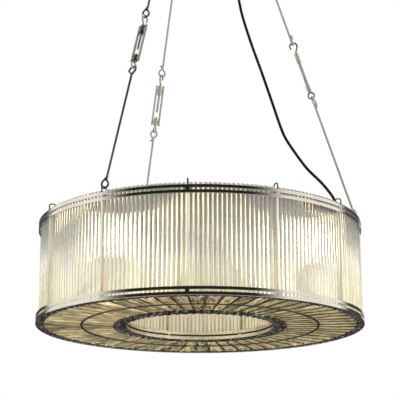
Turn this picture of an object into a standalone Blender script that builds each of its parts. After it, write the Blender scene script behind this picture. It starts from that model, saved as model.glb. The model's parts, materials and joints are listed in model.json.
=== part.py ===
"""Ring-shaped drum pendant light, in metres, +Z up.

The origin is the middle of the ceiling plate's flat top face, and everything hangs below it. Two
concentric walls of clear glass rods stand between slotted metal bands, radial glass plates close
the underside between them, and the middle is open. Three wire strands with turnbuckles carry the
drum from a small plate under the ceiling hook. Pieces of the drum are placed in the frame of an
empty on the drum's axis, whose +X axis points at the first strand.
"""

import math

import bmesh
import bpy
from mathutils import Matrix, Vector

# Clearances
SEAT_GAP = 0.0003
BORE_CLEARANCE = 0.0004
WELD_DEPTH = 0.0010
CUT_OVERRUN = 0.0100
MERGE_DISTANCE = 0.00001

# Drum
DRUM_RADIUS = 0.4000
DRUM_HEIGHT = 0.2500
HOLE_SHARE = 0.4500
HOLE_RADIUS = DRUM_RADIUS * HOLE_SHARE
FIRST_STRAND_BEARING = math.radians(-34)
OUTER_MODULES = 12
INNER_MODULES = 6
OUTER_SEGMENTS = 36
INNER_SEGMENTS = 24
ROUND_FITTING_SEGMENTS = 20
HANGER_SEGMENTS = 18
STRAND_COUNT = 3
LAMP_COUNT = 4
SHARP_ANGLE = math.radians(30)

# Bands
BAND_HEIGHT = 0.0200
BAND_THICKNESS = 0.0035
TOP_BAND_INSET = 0.0015
LEDGE_THICKNESS = 0.0025
INNER_LEDGE_WIDTH = 0.0320
SLOT_HEIGHT = 0.0042
SLOT_BRIDGE = 0.0100
POST_WIDTH = 0.0042
POST_REACH = 0.0042
POST_DROP = 0.0010
INNER_POST_DEPTH = 0.0160

# Glass rods
ROD_DIAMETER = 0.0104
ROD_CLEARANCE = 0.0004
ROD_STAND = 0.0060
ROD_NECK = 0.0020
ROD_FACETS = 2
ROD_BACK_STEPS = 5

# Staples on the rim
STAPLE_WIRE = 0.0032
STAPLE_RISE = 0.0150
STAPLE_BEND = 0.0060

# Underside
PLATE_THICKNESS = 0.0040
PLATE_SEAT = 0.0035
PLATE_STEP = 0.0010
PLATE_WIDTH = 0.0400
MID_RING_SHARE = 0.72175
MID_RING_RADIUS = DRUM_RADIUS * MID_RING_SHARE
MID_RING_WIDTH = 0.0076
MID_RING_STUD = 0.0016
BAR_WIDTH = 0.0060
BAR_HEIGHT = 0.0045

# Lamp frame
SPOKE_WIDTH = 0.0200
STRAP_THICKNESS = 0.0030
LAMP_RING_THICKNESS = 0.0020
LAMP_RING_WIDTH = 0.0240
LAMP_CIRCLE_SHARE = 0.7000
LAMP_CIRCLE_RADIUS = DRUM_RADIUS * LAMP_CIRCLE_SHARE
LAMP_FRAME_DROP = 0.0140
LAMP_BEARING = math.radians(5.5)
LAMP_DROP = 0.0800
BRACKET_FOOT = 0.0140

# Lampholders and lamps
HOLDER_RADIUS = 0.0200
HOLDER_WAIST_RADIUS = 0.0170
HOLDER_BACK_RADIUS = 0.0130
HOLDER_LENGTH = 0.0580
HOLDER_SKIRT = 0.0300
CAP_RADIUS = 0.0133
CAP_DEPTH = 0.0270
CAP_CLEARANCE = 0.0006
BULB_RADIUS = 0.0300
BULB_REACH = 0.0750
NECK_LENGTH = 0.0060
ROUND_SEGMENTS = 10
BALL_STEPS = 6
BALL_NECK_ANGLE = math.radians(-36)

# Junction box and its cable gland
BOX_BEARING = math.radians(94)
BOX_LENGTH = 0.0600
BOX_DEPTH = 0.0260
BOX_HEIGHT = 0.0240
BOX_CORNER = 0.0030
BOX_TAB_WIDTH = 0.0240
GLAND_RADIUS = 0.0085
GLAND_LENGTH = 0.0060
BOOT_LENGTH = 0.0180
BOOT_RADIUS = 0.0062

# Supply cable and lamp wiring
CABLE_DIAMETER = 0.0060
CABLE_BEARING = math.radians(60)
CABLE_SPACING = 0.0180
CABLE_STRAIGHT = 0.0060
CABLE_WALL_GAP = 0.0039
CABLE_BEND_PER_POINT = math.radians(25)
LOOM_DIAMETER = 0.0050
LOOM_CLEARANCE = 0.0020
LOOM_DIP_WIDTH = 0.0500
LOOM_STEP = math.radians(22)
LOOM_REST_POINTS = 2

# Strands
ANCHOR_INSET = 0.0130
ANCHOR_RADIUS = DRUM_RADIUS - ANCHOR_INSET
STRAND_APEX_RISE = 1.2160
ROD_WIRE = 0.0040
EYE_WIDTH = 0.0230
EYE_NECK = 0.0050
EYE_TAIL = 0.0080
EYE_STEPS = 7
LOWER_ROD_LENGTH = 0.3429
TURNBUCKLE_LENGTH = 0.1100
TURNBUCKLE_WIDTH = 0.0240
TURNBUCKLE_DEPTH = 0.0120
TURNBUCKLE_SIDE = 0.0060
TOP_BOSS = 0.0286
BOTTOM_BOSS = 0.0198
TURNBUCKLE_CORNER = 0.0045
SHANK_DIAMETER = 0.0060
SHANK_GAP = 0.0128
LOWER_SHANK = 0.0235
UPPER_SHANK = TURNBUCKLE_LENGTH - LOWER_SHANK - SHANK_GAP
HOOK_WIRE = 0.0047
HOOK_WIDTH = 0.0240
HOOK_HEIGHT = 0.0320
EYEBOLT_WIRE = 0.0045
EYEBOLT_WIDTH = 0.0210
EYEBOLT_NECK = 0.0030
EYEBOLT_STEPS = 3
BORE_SEGMENTS = 8

# Hanger under the ceiling hook
HANGER_PLATE_RADIUS = 0.0370
HANGER_PLATE_THICKNESS = 0.0040
HANGER_HOLE_RADIUS = 0.0036
HANGER_HOLE_CIRCLE = 0.0239
HANGER_EYE_WIRE = 0.0050
HANGER_EYE_RADIUS = 0.0085
HANGER_SHANK = 0.0060
HANGER_NECK = 0.0110
HANGER_HEAD_RADIUS = 0.0070
HANGER_HEAD_HEIGHT = 0.0060
HANGER_EYE_OPENING = math.radians(40)
HANGER_EYE_STEPS = 10
HEXAGON = 6
RING_WIRE = 0.0050
RING_RADIUS = 0.0140
RING_STEPS = 16

# Ceiling fitting
CEILING_PLATE_RADIUS = 0.0550
CEILING_PLATE_THICKNESS = 0.0040
CEILING_BOSS_RADIUS = 0.0120
CEILING_BOSS_HEIGHT = 0.0140
CUP_RADIUS = 0.0650
CUP_DEPTH = 0.0500
CUP_MOUTH_RADIUS = 0.0400
CUP_WALL = 0.0015
CUP_SHOULDER = 0.0220
CUP_TAB_WIDTH = 0.0140
CUP_TABS = 3
CUP_SHOULDER_STEPS = 3
CEILING_HOOK_WIRE = 0.0060
CEILING_HOOK_RADIUS = 0.0110
CEILING_HOOK_DROP = 0.0770
CEILING_HOOK_START = 0.0070
CEILING_HOOK_SWEEP = (math.radians(20), math.radians(-200))
CEILING_HOOK_SETBACK = math.radians(30)
CEILING_HOOK_STEPS = 8

# Places that follow from the sizes
HOOK_PIVOT_Z = -CEILING_HOOK_DROP
RING_CENTRE_Z = HOOK_PIVOT_Z + (CEILING_HOOK_WIRE + RING_WIRE) / 2 + SEAT_GAP - RING_RADIUS
RING_PIVOT_Z = RING_CENTRE_Z - RING_RADIUS
HANGER_EYE_Z = RING_PIVOT_Z + (RING_WIRE + HANGER_EYE_WIRE) / 2 + SEAT_GAP - HANGER_EYE_RADIUS
HANGER_TOP_Z = HANGER_EYE_Z - HANGER_EYE_RADIUS - HANGER_NECK
STRAND_LEAN = math.atan2(ANCHOR_RADIUS, STRAND_APEX_RISE)
EYE_RADIUS = (EYE_WIDTH - ROD_WIRE) / 2
EYE_OPENING = math.acos(EYE_RADIUS / (EYE_RADIUS + EYE_NECK))
EYE_STEP = (math.tau - 2 * EYE_OPENING) / EYE_STEPS
HANGER_RIM = HANGER_PLATE_RADIUS - HANGER_HOLE_CIRCLE - HANGER_HOLE_RADIUS
TOP_EYE_RADIAL = HANGER_PLATE_RADIUS - HANGER_RIM / 2
TOP_EYE_REACH = EYE_RADIUS * math.cos(EYE_STEP / 2) - ROD_WIRE / 2 - SEAT_GAP
TOP_EYE_Z = HANGER_TOP_Z - math.sqrt(TOP_EYE_REACH**2 - (HANGER_RIM / 2) ** 2)
ANCHOR_Z = TOP_EYE_Z - (ANCHOR_RADIUS - TOP_EYE_RADIAL) / math.tan(STRAND_LEAN)
DRUM_TOP_Z = ANCHOR_Z - STAPLE_RISE
DRUM_BOTTOM_Z = DRUM_TOP_Z - DRUM_HEIGHT
TOP_BAND_RADIUS = DRUM_RADIUS - TOP_BAND_INSET
OUTER_APOTHEM_SHARE = math.cos(math.pi / OUTER_SEGMENTS)
ROD_RADIUS = ROD_DIAMETER / 2
OUTER_ROD_FACE = (TOP_BAND_RADIUS - BAND_THICKNESS) * OUTER_APOTHEM_SHARE - ROD_CLEARANCE
OUTER_ROD_CIRCLE = OUTER_ROD_FACE - ROD_RADIUS
INNER_TOP_BAND_INSIDE = HOLE_RADIUS + TOP_BAND_INSET
INNER_ROD_CIRCLE = INNER_TOP_BAND_INSIDE + BAND_THICKNESS + ROD_CLEARANCE + ROD_RADIUS
PLATE_OUTER_EDGE = OUTER_ROD_CIRCLE - ROD_RADIUS - ROD_CLEARANCE
LEDGE_INNER_EDGE = PLATE_OUTER_EDGE - PLATE_SEAT
INNER_LEDGE_EDGE = HOLE_RADIUS + INNER_LEDGE_WIDTH
PLATE_INNER_EDGE = INNER_LEDGE_EDGE - PLATE_SEAT
PLATE_BOTTOM = LEDGE_THICKNESS + SEAT_GAP
PLATE_TOP = PLATE_BOTTOM + PLATE_THICKNESS
BAR_BOTTOM = PLATE_TOP + SEAT_GAP
ROD_BOTTOM = LEDGE_THICKNESS + SEAT_GAP
ROD_LENGTH = DRUM_HEIGHT + ROD_STAND - ROD_BOTTOM
POST_SKEW = POST_WIDTH / 2 * math.tan(math.pi / OUTER_SEGMENTS)
POST_OUTSIDE = DRUM_RADIUS - BAND_THICKNESS - POST_SKEW - SEAT_GAP
POST_FOOT = PLATE_OUTER_EDGE + SEAT_GAP
POST_INSIDE = POST_FOOT - POST_REACH
POST_TOP = DRUM_HEIGHT - POST_DROP
INNER_POST_INSIDE = HOLE_RADIUS + BAND_THICKNESS + SEAT_GAP
INNER_POST_OUTSIDE = INNER_POST_INSIDE + INNER_POST_DEPTH
LAMP_RING_INSIDE = LAMP_CIRCLE_RADIUS - LAMP_RING_WIDTH / 2
LAMP_RING_OUTSIDE = LAMP_CIRCLE_RADIUS + LAMP_RING_WIDTH / 2
LAMP_FRAME_Z = DRUM_HEIGHT - LAMP_FRAME_DROP
LAMP_FRAME_TOP = LAMP_FRAME_Z + STRAP_THICKNESS
LAMP_Z = DRUM_HEIGHT - LAMP_DROP
BOX_TOP_Z = LAMP_FRAME_Z - SEAT_GAP
GLAND_Z = BOX_TOP_Z - BOX_HEIGHT / 2

CABLE_END = LAMP_RING_OUTSIDE + BOX_DEPTH + GLAND_LENGTH + BOOT_LENGTH + 2 * SEAT_GAP
CABLE_FURTHEST = POST_INSIDE - CABLE_DIAMETER / 2 - CABLE_WALL_GAP

# The supply cable's route from the top down. Each pair's second number is a height over the rim.
# The first is a distance from the axis at the canopy, a share of the drum's radius on the way
# down, and then a share of the way from the gland's mouth to the cable's furthest place.
CABLE_AT_CANOPY = (
    (0.0320, 1.2290),
    (0.0230, 1.2170),
    (0.0205, 1.2000),
    (0.0270, 1.1750),
    (0.0400, 1.1400),
    (0.0500, 1.0800),
)
CABLE_ON_SLOPE = (
    (0.1500, 0.9800),
    (0.1800, 0.8600),
    (0.2150, 0.7400),
    (0.2875, 0.5870),
    (0.3150, 0.5370),
    (0.3700, 0.4650),
    (0.4425, 0.3810),
    (0.5100, 0.3000),
    (0.5700, 0.2270),
    (0.6100, 0.1900),
    (0.6975, 0.1350),
    (0.7550, 0.1040),
    (0.8375, 0.0680),
)
CABLE_AT_WALL = (
    (0.6370, 0.0330),
    (0.9830, 0.0100),
    (1.0000, -0.0055),
    (0.8440, -0.0170),
    (0.5500, -0.0240),
)


def remove_everything():
    for obj in list(bpy.data.objects):
        bpy.data.objects.remove(obj, do_unlink=True)


def new_collection(name, hidden=False):
    collection = bpy.data.collections.new(name)
    bpy.context.scene.collection.children.link(collection)
    collection.hide_render = hidden
    return collection


def principled(name, colour, roughness, metallic=0.0, transmission=0.0):
    material = bpy.data.materials.new(name)
    material.use_nodes = True
    shader = material.node_tree.nodes["Principled BSDF"]
    shader.inputs["Base Color"].default_value = (*colour, 1.0)
    shader.inputs["Roughness"].default_value = roughness
    shader.inputs["Metallic"].default_value = metallic
    shader.inputs["Transmission Weight"].default_value = transmission
    material.diffuse_color = (*colour, 1.0)
    return material


remove_everything()
PARTS = new_collection("drum_pendant_light")
CUTTERS = new_collection("cutters", hidden=True)
NICKEL = principled("polished_nickel", (0.78, 0.75, 0.68), 0.12, metallic=1.0)
STEEL = principled("bright_steel", (0.72, 0.71, 0.69), 0.25, metallic=1.0)
CLEAR_GLASS = principled("clear_glass", (0.96, 0.97, 0.95), 0.02, transmission=1.0)
PLATE_GLASS = principled("champagne_glass", (0.86, 0.80, 0.62), 0.05, transmission=1.0)
BLACK_PLASTIC = principled("black_plastic", (0.02, 0.02, 0.02), 0.45)
LAMP_GLASS = principled("lamp_glass", (1.0, 0.93, 0.78), 0.30)
CABLE_BLACK = principled("cable_black", (0.015, 0.015, 0.015), 0.55)
FRAME_PAINT = principled("frame_paint", (0.62, 0.60, 0.55), 0.40, metallic=0.6)


# Objects, empties and Booleans


def empty_at(name, parent, location=(0, 0, 0), turn=0.0):
    obj = bpy.data.objects.new(name, None)
    PARTS.objects.link(obj)
    obj.parent = parent
    obj.location = location
    obj.rotation_euler = (0, 0, turn)
    return obj


def add_object(name, data, material, parent=None, matrix=None):
    """A named piece of the light, in its parent's frame."""
    obj = bpy.data.objects.new(name, data)
    PARTS.objects.link(obj)
    if not data.materials:
        data.materials.append(material)
    obj.parent = parent
    if matrix is not None:
        obj.matrix_basis = matrix
    return obj


def add_helper(name, data, like):
    """A hidden solid that cuts or joins a piece, in that piece's own frame."""
    obj = bpy.data.objects.new(name, data)
    CUTTERS.objects.link(obj)
    obj.parent = like.parent
    obj.matrix_basis = like.matrix_basis.copy()
    obj.hide_render = True
    obj.display_type = "WIRE"
    return obj


def boolean(obj, helper, operation):
    modifier = obj.modifiers.new(helper.name, "BOOLEAN")
    modifier.operation = operation
    modifier.solver = "EXACT"
    modifier.object = helper


def weld(obj, name, data):
    boolean(obj, add_helper(name, data, obj), "UNION")


def cut(obj, name, data):
    boolean(obj, add_helper(name, data, obj), "DIFFERENCE")


# Meshes from primitives, profiles, outlines and wires


def mesh_from(name, build):
    """A mesh filled by build, a function that takes an empty bmesh."""
    mesh = bpy.data.meshes.new(name)
    model = bmesh.new()
    build(model)
    bmesh.ops.recalc_face_normals(model, faces=model.faces)
    model.to_mesh(mesh)
    model.free()
    return mesh


def smooth_mesh(mesh):
    mesh.shade_smooth()
    mesh.set_sharp_from_angle(angle=SHARP_ANGLE)
    return mesh


def boxes_mesh(name, boxes):
    """Boxes, each given as its size, its middle and its bearing about +Z."""

    def build(model):
        for size, middle, bearing in boxes:
            place = Matrix.Rotation(bearing, 4, "Z") @ Matrix.Translation(middle)
            bmesh.ops.create_cube(model, size=1, matrix=place @ Matrix.Diagonal((*size, 1)))

    return mesh_from(name, build)


def cylinders_mesh(name, cylinders, segments):
    """Upright cylinders, each given as its radius, its height and its middle."""

    def build(model):
        for radius, height, middle in cylinders:
            bmesh.ops.create_cone(
                model,
                cap_ends=True,
                segments=segments,
                radius1=radius,
                radius2=radius,
                depth=height,
                matrix=Matrix.Translation(middle),
            )

    return mesh_from(name, build)


def turned(name, points, segments, material, parent, closed=True, matrix=None):
    """A profile of (radius, height) points turned about +Z."""

    def build(model):
        verts = [model.verts.new((radius, 0, height)) for radius, height in points]
        ends = verts[1:] + verts[:1] if closed else verts[1:]
        for vert, following in zip(verts, ends):
            model.edges.new((vert, following))
        bmesh.ops.spin(
            model,
            geom=model.verts[:] + model.edges[:],
            cent=(0, 0, 0),
            axis=(0, 0, 1),
            angle=math.tau,
            steps=segments,
            use_merge=True,
        )
        bmesh.ops.remove_doubles(model, verts=model.verts, dist=MERGE_DISTANCE)

    return add_object(name, smooth_mesh(mesh_from(name, build)), material, parent, matrix)


def rectangle(inside, outside, bottom, top):
    return [(outside, top), (outside, bottom), (inside, bottom), (inside, top)]


def arc(radius, start, end, steps, middle=(0, 0)):
    """Points of an arc, as (across, up) pairs."""
    angles = [start + (end - start) * i / steps for i in range(steps + 1)]
    return [
        (middle[0] + radius * math.cos(angle), middle[1] + radius * math.sin(angle))
        for angle in angles
    ]


def outline_curve(name, outlines, height):
    """A flat outline with its holes, height thick about its own plane."""
    curve = bpy.data.curves.new(name, "CURVE")
    curve.dimensions = "2D"
    curve.fill_mode = "BOTH"
    curve.extrude = height / 2
    for outline in outlines:
        spline = curve.splines.new("POLY")
        spline.points.add(len(outline) - 1)
        for point, (x, y) in zip(spline.points, outline):
            point.co = (x, y, 0, 1)
        spline.use_cyclic_u = True
    return curve


def wire_curve(name, paths, diameter, resolution=1):
    """Round wires along open paths. A path's point may end in a share of the diameter."""
    curve = bpy.data.curves.new(name, "CURVE")
    curve.dimensions = "3D"
    curve.bevel_depth = diameter / 2
    curve.bevel_resolution = resolution
    curve.use_fill_caps = True
    for path in paths:
        spline = curve.splines.new("POLY")
        spline.points.add(len(path) - 1)
        for point, place in zip(spline.points, path):
            point.co = (*place[:3], 1)
            point.radius = place[3] if len(place) > 3 else 1
    return curve


def curve_to_mesh(name, curve):
    """A closed mesh of a curve, with its caps joined to its sides."""
    obj = bpy.data.objects.new(name, curve)
    CUTTERS.objects.link(obj)
    bpy.context.view_layer.update()
    graph = bpy.context.evaluated_depsgraph_get()
    mesh = bpy.data.meshes.new_from_object(obj.evaluated_get(graph))
    bpy.data.objects.remove(obj, do_unlink=True)
    bpy.data.curves.remove(curve)
    model = bmesh.new()
    model.from_mesh(mesh)
    bmesh.ops.remove_doubles(model, verts=model.verts, dist=MERGE_DISTANCE)
    bmesh.ops.dissolve_limit(
        model, angle_limit=math.radians(1), verts=model.verts, edges=model.edges
    )
    bmesh.ops.recalc_face_normals(model, faces=model.faces)
    model.to_mesh(mesh)
    model.free()
    mesh.name = name
    return mesh


def radial_flats(name, outline, width, bearings):
    """Upright plates of one (radius, height) outline, at several bearings about the axis."""
    flat = curve_to_mesh(f"{name}_flat", outline_curve(name, [outline], width))
    stand = Matrix.Rotation(math.pi / 2, 4, "X")

    def build(model):
        for bearing in bearings:
            known = set(model.verts)
            model.from_mesh(flat)
            fresh = [vert for vert in model.verts if vert not in known]
            turn = Matrix.Rotation(bearing, 4, "Z") @ stand
            bmesh.ops.transform(model, matrix=turn, verts=fresh)

    mesh = mesh_from(name, build)
    bpy.data.meshes.remove(flat)
    return mesh


def smooth_path(route, end, longest, sharpest):
    """Points along the smooth curve through the route's own points, then straight to its end."""
    ends = [2 * route[0] - route[1], *route, end]
    fine = []
    samples = 24
    for before, start, stop, after in zip(ends, ends[1:], ends[2:], ends[3:]):
        for i in range(samples):
            t = i / samples
            fine.append(
                0.5
                * (
                    2 * start
                    + (stop - before) * t
                    + (2 * before - 5 * start + 4 * stop - after) * t**2
                    + (3 * start - before - 3 * stop + after) * t**3
                )
            )
    fine.append(route[-1])
    path = [fine[0]]
    heading = fine[1] - fine[0]
    travelled = 0.0
    for a, b, c in zip(fine, fine[1:], fine[2:]):
        travelled += (b - a).length
        if travelled >= longest or heading.angle(c - b) >= sharpest:
            path.append(b)
            heading = c - b
            travelled = 0.0
    return path + [route[-1], end]


# Frames of the pieces


def bearing_vector(bearing):
    """The level direction at a bearing: zero is -Y, and it grows towards +X."""
    return Vector((math.sin(bearing), -math.cos(bearing), 0))


def axes_matrix(x, y, z, origin):
    return Matrix.Translation(origin) @ Matrix((x, y, z)).transposed().to_4x4()


def places(count, start=0.0):
    """Evenly spaced bearings about the drum's axis, in its own frame."""
    return [start + math.tau * k / count for k in range(count)]


# Ceiling fitting


def make_ceiling_plate():
    """Round plate with a boss for the hook and three tabs that the cup is screwed to."""
    boss_end = -CEILING_PLATE_THICKNESS - CEILING_BOSS_HEIGHT
    bore_end = -CEILING_PLATE_THICKNESS - SEAT_GAP
    bore = (CEILING_HOOK_WIRE + CAP_CLEARANCE) / 2
    profile = [
        (0, 0),
        (CEILING_PLATE_RADIUS, 0),
        (CEILING_PLATE_RADIUS, -CEILING_PLATE_THICKNESS),
        (CEILING_BOSS_RADIUS, -CEILING_PLATE_THICKNESS),
        (CEILING_BOSS_RADIUS, boss_end),
        (bore, boss_end),
        (bore, bore_end),
        (0, bore_end),
    ]
    plate = turned("ceiling_plate", profile, ROUND_FITTING_SEGMENTS, STEEL, None, closed=False)
    half_step = math.pi / ROUND_FITTING_SEGMENTS
    tab_skew = CUP_TAB_WIDTH / 2 * math.tan(half_step)
    tab_face = CUP_RADIUS - (CUP_WALL + SEAT_GAP) / math.cos(half_step) - tab_skew
    tab_root = CEILING_PLATE_RADIUS * math.cos(half_step) - WELD_DEPTH
    top = -CUP_WALL
    tab = [
        (tab_root, top),
        (tab_root, top - CUP_WALL),
        (tab_face - CUP_WALL, top - CUP_WALL),
        (tab_face - CUP_WALL, -CUP_SHOULDER),
        (tab_face, -CUP_SHOULDER),
        (tab_face, top),
    ]
    weld(plate, "cup_tabs", radial_flats("cup_tabs", tab, CUP_TAB_WIDTH, places(CUP_TABS)))


def make_canopy_cup():
    """Spun cup over the ceiling plate, with a wide mouth that the hook and the cable pass."""
    side = CUP_SHOULDER
    drop = CUP_DEPTH - side
    width = CUP_RADIUS - CUP_MOUTH_RADIUS
    shoulder = [
        (CUP_MOUTH_RADIUS + width * math.cos(angle), -side - drop * math.sin(angle))
        for angle in (math.pi / 2 * i / CUP_SHOULDER_STEPS for i in range(CUP_SHOULDER_STEPS + 1))
    ]
    profile = [(CUP_RADIUS, -SEAT_GAP), *shoulder]
    cup = turned("canopy_cup", profile, ROUND_FITTING_SEGMENTS, NICKEL, None, closed=False)
    wall = cup.modifiers.new("wall", "SOLIDIFY")
    wall.thickness = CUP_WALL
    wall.offset = -1


def make_ceiling_hook(fitting):
    """Open hook on a straight shank, in the fitting's XZ plane."""
    bend = CEILING_HOOK_RADIUS
    centre = HOOK_PIVOT_Z + bend
    neck = centre + 2 * bend
    setback = bend * math.sin(CEILING_HOOK_SETBACK)
    path = [(0, 0, -CEILING_HOOK_START), (0, 0, neck), (setback, 0, neck - setback)]
    bow = arc(bend, *CEILING_HOOK_SWEEP, CEILING_HOOK_STEPS, (0, centre))
    path += [(x, 0, z) for x, z in bow]
    curve = wire_curve("ceiling_hook", [path], CEILING_HOOK_WIRE, 2)
    return add_object("ceiling_hook", curve, STEEL, fitting)


def make_suspension_ring(pivot):
    """Closed ring that hangs on the hook, in the fitting's YZ plane."""
    centre = RING_CENTRE_Z - HOOK_PIVOT_Z

    def build(model):
        place = Matrix.Translation((0, 0, centre + RING_RADIUS))
        bmesh.ops.create_circle(model, segments=HEXAGON, radius=RING_WIRE / 2, matrix=place)
        bmesh.ops.rotate(
            model,
            verts=model.verts,
            cent=(0, 0, centre + RING_RADIUS),
            matrix=Matrix.Rotation(math.pi / 2, 3, "X"),
        )
        bmesh.ops.spin(
            model,
            geom=model.verts[:] + model.edges[:],
            cent=(0, 0, centre),
            axis=(1, 0, 0),
            angle=math.tau,
            steps=RING_STEPS,
            use_merge=True,
        )

    mesh = smooth_mesh(mesh_from("suspension_ring", build))
    return add_object("suspension_ring", mesh, STEEL, pivot)


def make_hanger_eye(pivot):
    """Eye bolt through the hanger plate, its eye in the fitting's XZ plane."""
    below = -RING_PIVOT_Z
    eye_z = HANGER_EYE_Z + below
    head_top = HANGER_TOP_Z - HANGER_PLATE_THICKNESS - SEAT_GAP + below
    head_bottom = head_top - HANGER_HEAD_HEIGHT
    shank = HANGER_SHANK / HANGER_EYE_WIRE
    neck = eye_z - HANGER_EYE_RADIUS - HANGER_EYE_WIRE
    path = [(0, 0, head_bottom + WELD_DEPTH, shank), (0, 0, neck - WELD_DEPTH, shank)]
    first = HANGER_EYE_OPENING - math.pi / 2
    last = first + math.tau - 2 * HANGER_EYE_OPENING
    loop = arc(HANGER_EYE_RADIUS, first, last, HANGER_EYE_STEPS, (0, eye_z))
    path += [(x, 0, z, 1) for x, z in loop]
    eye = curve_to_mesh("hanger_eye", wire_curve("hanger_eye", [path], HANGER_EYE_WIRE, 2))
    obj = add_object("hanger_eye", eye, STEEL, pivot)
    middle = (0, 0, (head_top + head_bottom) / 2)
    head = [(HANGER_HEAD_RADIUS, HANGER_HEAD_HEIGHT, middle)]
    weld(obj, "hanger_eye_head", cylinders_mesh("hanger_eye_head", head, HEXAGON))
    return obj


def make_hanger_plate(pivot, drum):
    """Round plate whose rim carries the three top eyes, in the drum's frame."""
    top = HANGER_TOP_Z - DRUM_BOTTOM_Z
    bore = (HANGER_SHANK + CAP_CLEARANCE) / 2
    profile = rectangle(bore, HANGER_PLATE_RADIUS, top - HANGER_PLATE_THICKNESS, top)
    plate = turned("hanger_plate", profile, HANGER_SEGMENTS, NICKEL, drum)
    holes = [
        (
            HANGER_HOLE_RADIUS,
            HANGER_PLATE_THICKNESS + CUT_OVERRUN,
            (
                HANGER_HOLE_CIRCLE * math.cos(a),
                HANGER_HOLE_CIRCLE * math.sin(a),
                top - HANGER_PLATE_THICKNESS / 2,
            ),
        )
        for a in places(STRAND_COUNT)
    ]
    cut(plate, "hanger_plate_holes", cylinders_mesh("hanger_plate_holes", holes, HEXAGON))


# Strands


def eye_path(far, way, wire, radius, neck, tail, steps):
    """A bent eye as (across, along, aside) points, from its neck round to its tail.

    far is the place along the strand of the wire's middle at the eye's far end, and way is +1 for
    an eye whose shaft runs up from it and -1 for one whose shaft runs down.
    """
    opening = math.acos(radius / (radius + neck))
    step = (math.tau - 2 * opening) / steps
    middle = far + way * radius * math.cos(step / 2)
    neck_along = middle + way * (radius + neck)
    points = [(0, neck_along, 0)]
    for i in range(steps + 1):
        angle = opening + step * i
        lift = wire * max(0, i - steps + 1)
        points.append((radius * math.sin(angle), middle + way * radius * math.cos(angle), lift))
    slope = Vector((math.cos(opening), math.sin(opening)))
    points.append((tail * slope.x, neck_along + way * tail * slope.y, wire + wire / steps))
    return points


def strand_frames():
    """For each strand, its axes in the drum's frame: along it, across it and aside, with its foot."""
    foot_z = DRUM_HEIGHT + STAPLE_RISE
    frames = []
    for bearing in places(STRAND_COUNT):
        outward = Vector((math.cos(bearing), math.sin(bearing), 0))
        along = Vector((0, 0, 1)) * math.cos(STRAND_LEAN) - outward * math.sin(STRAND_LEAN)
        across = Vector((-math.sin(bearing), math.cos(bearing), 0))
        aside = across.cross(along)
        frames.append((along, across, aside, outward * ANCHOR_RADIUS + Vector((0, 0, foot_z))))
    return frames


LOWER_EYE_FAR = -((STAPLE_WIRE + ROD_WIRE) / 2 + SEAT_GAP) / math.cos(STRAND_LEAN)
LOWER_ROD_TOP = LOWER_EYE_FAR + LOWER_ROD_LENGTH
EYEBOLT_RADIUS = (EYEBOLT_WIDTH - EYEBOLT_WIRE) / 2
EYEBOLT_FAR = LOWER_ROD_TOP - (ROD_WIRE + EYEBOLT_WIRE) / 2 - SEAT_GAP
EYEBOLT_FLAT = math.radians(18)
EYEBOLT_MIDDLE = EYEBOLT_FAR + EYEBOLT_RADIUS * math.cos(EYEBOLT_FLAT)
TURNBUCKLE_START = EYEBOLT_MIDDLE + EYEBOLT_RADIUS + EYEBOLT_NECK
TURNBUCKLE_END = TURNBUCKLE_START + TURNBUCKLE_LENGTH
HOOK_RADIUS = (HOOK_WIDTH - HOOK_WIRE) / 2
HOOK_CREST = TURNBUCKLE_END + HOOK_HEIGHT - HOOK_WIRE / 2
HOOK_SWEEP = (math.radians(-40), math.radians(220))
HOOK_STEPS = 7
HOOK_HALF_STEP = (HOOK_SWEEP[1] - HOOK_SWEEP[0]) / HOOK_STEPS / 2
UPPER_EYE_FAR = HOOK_CREST - (HOOK_WIRE + ROD_WIRE) / 2 - SEAT_GAP
TOP_EYE_MIDDLE = (ANCHOR_RADIUS - TOP_EYE_RADIAL) / math.sin(STRAND_LEAN)
TOP_EYE_FAR = TOP_EYE_MIDDLE + EYE_RADIUS * math.cos(EYE_STEP / 2)


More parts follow.
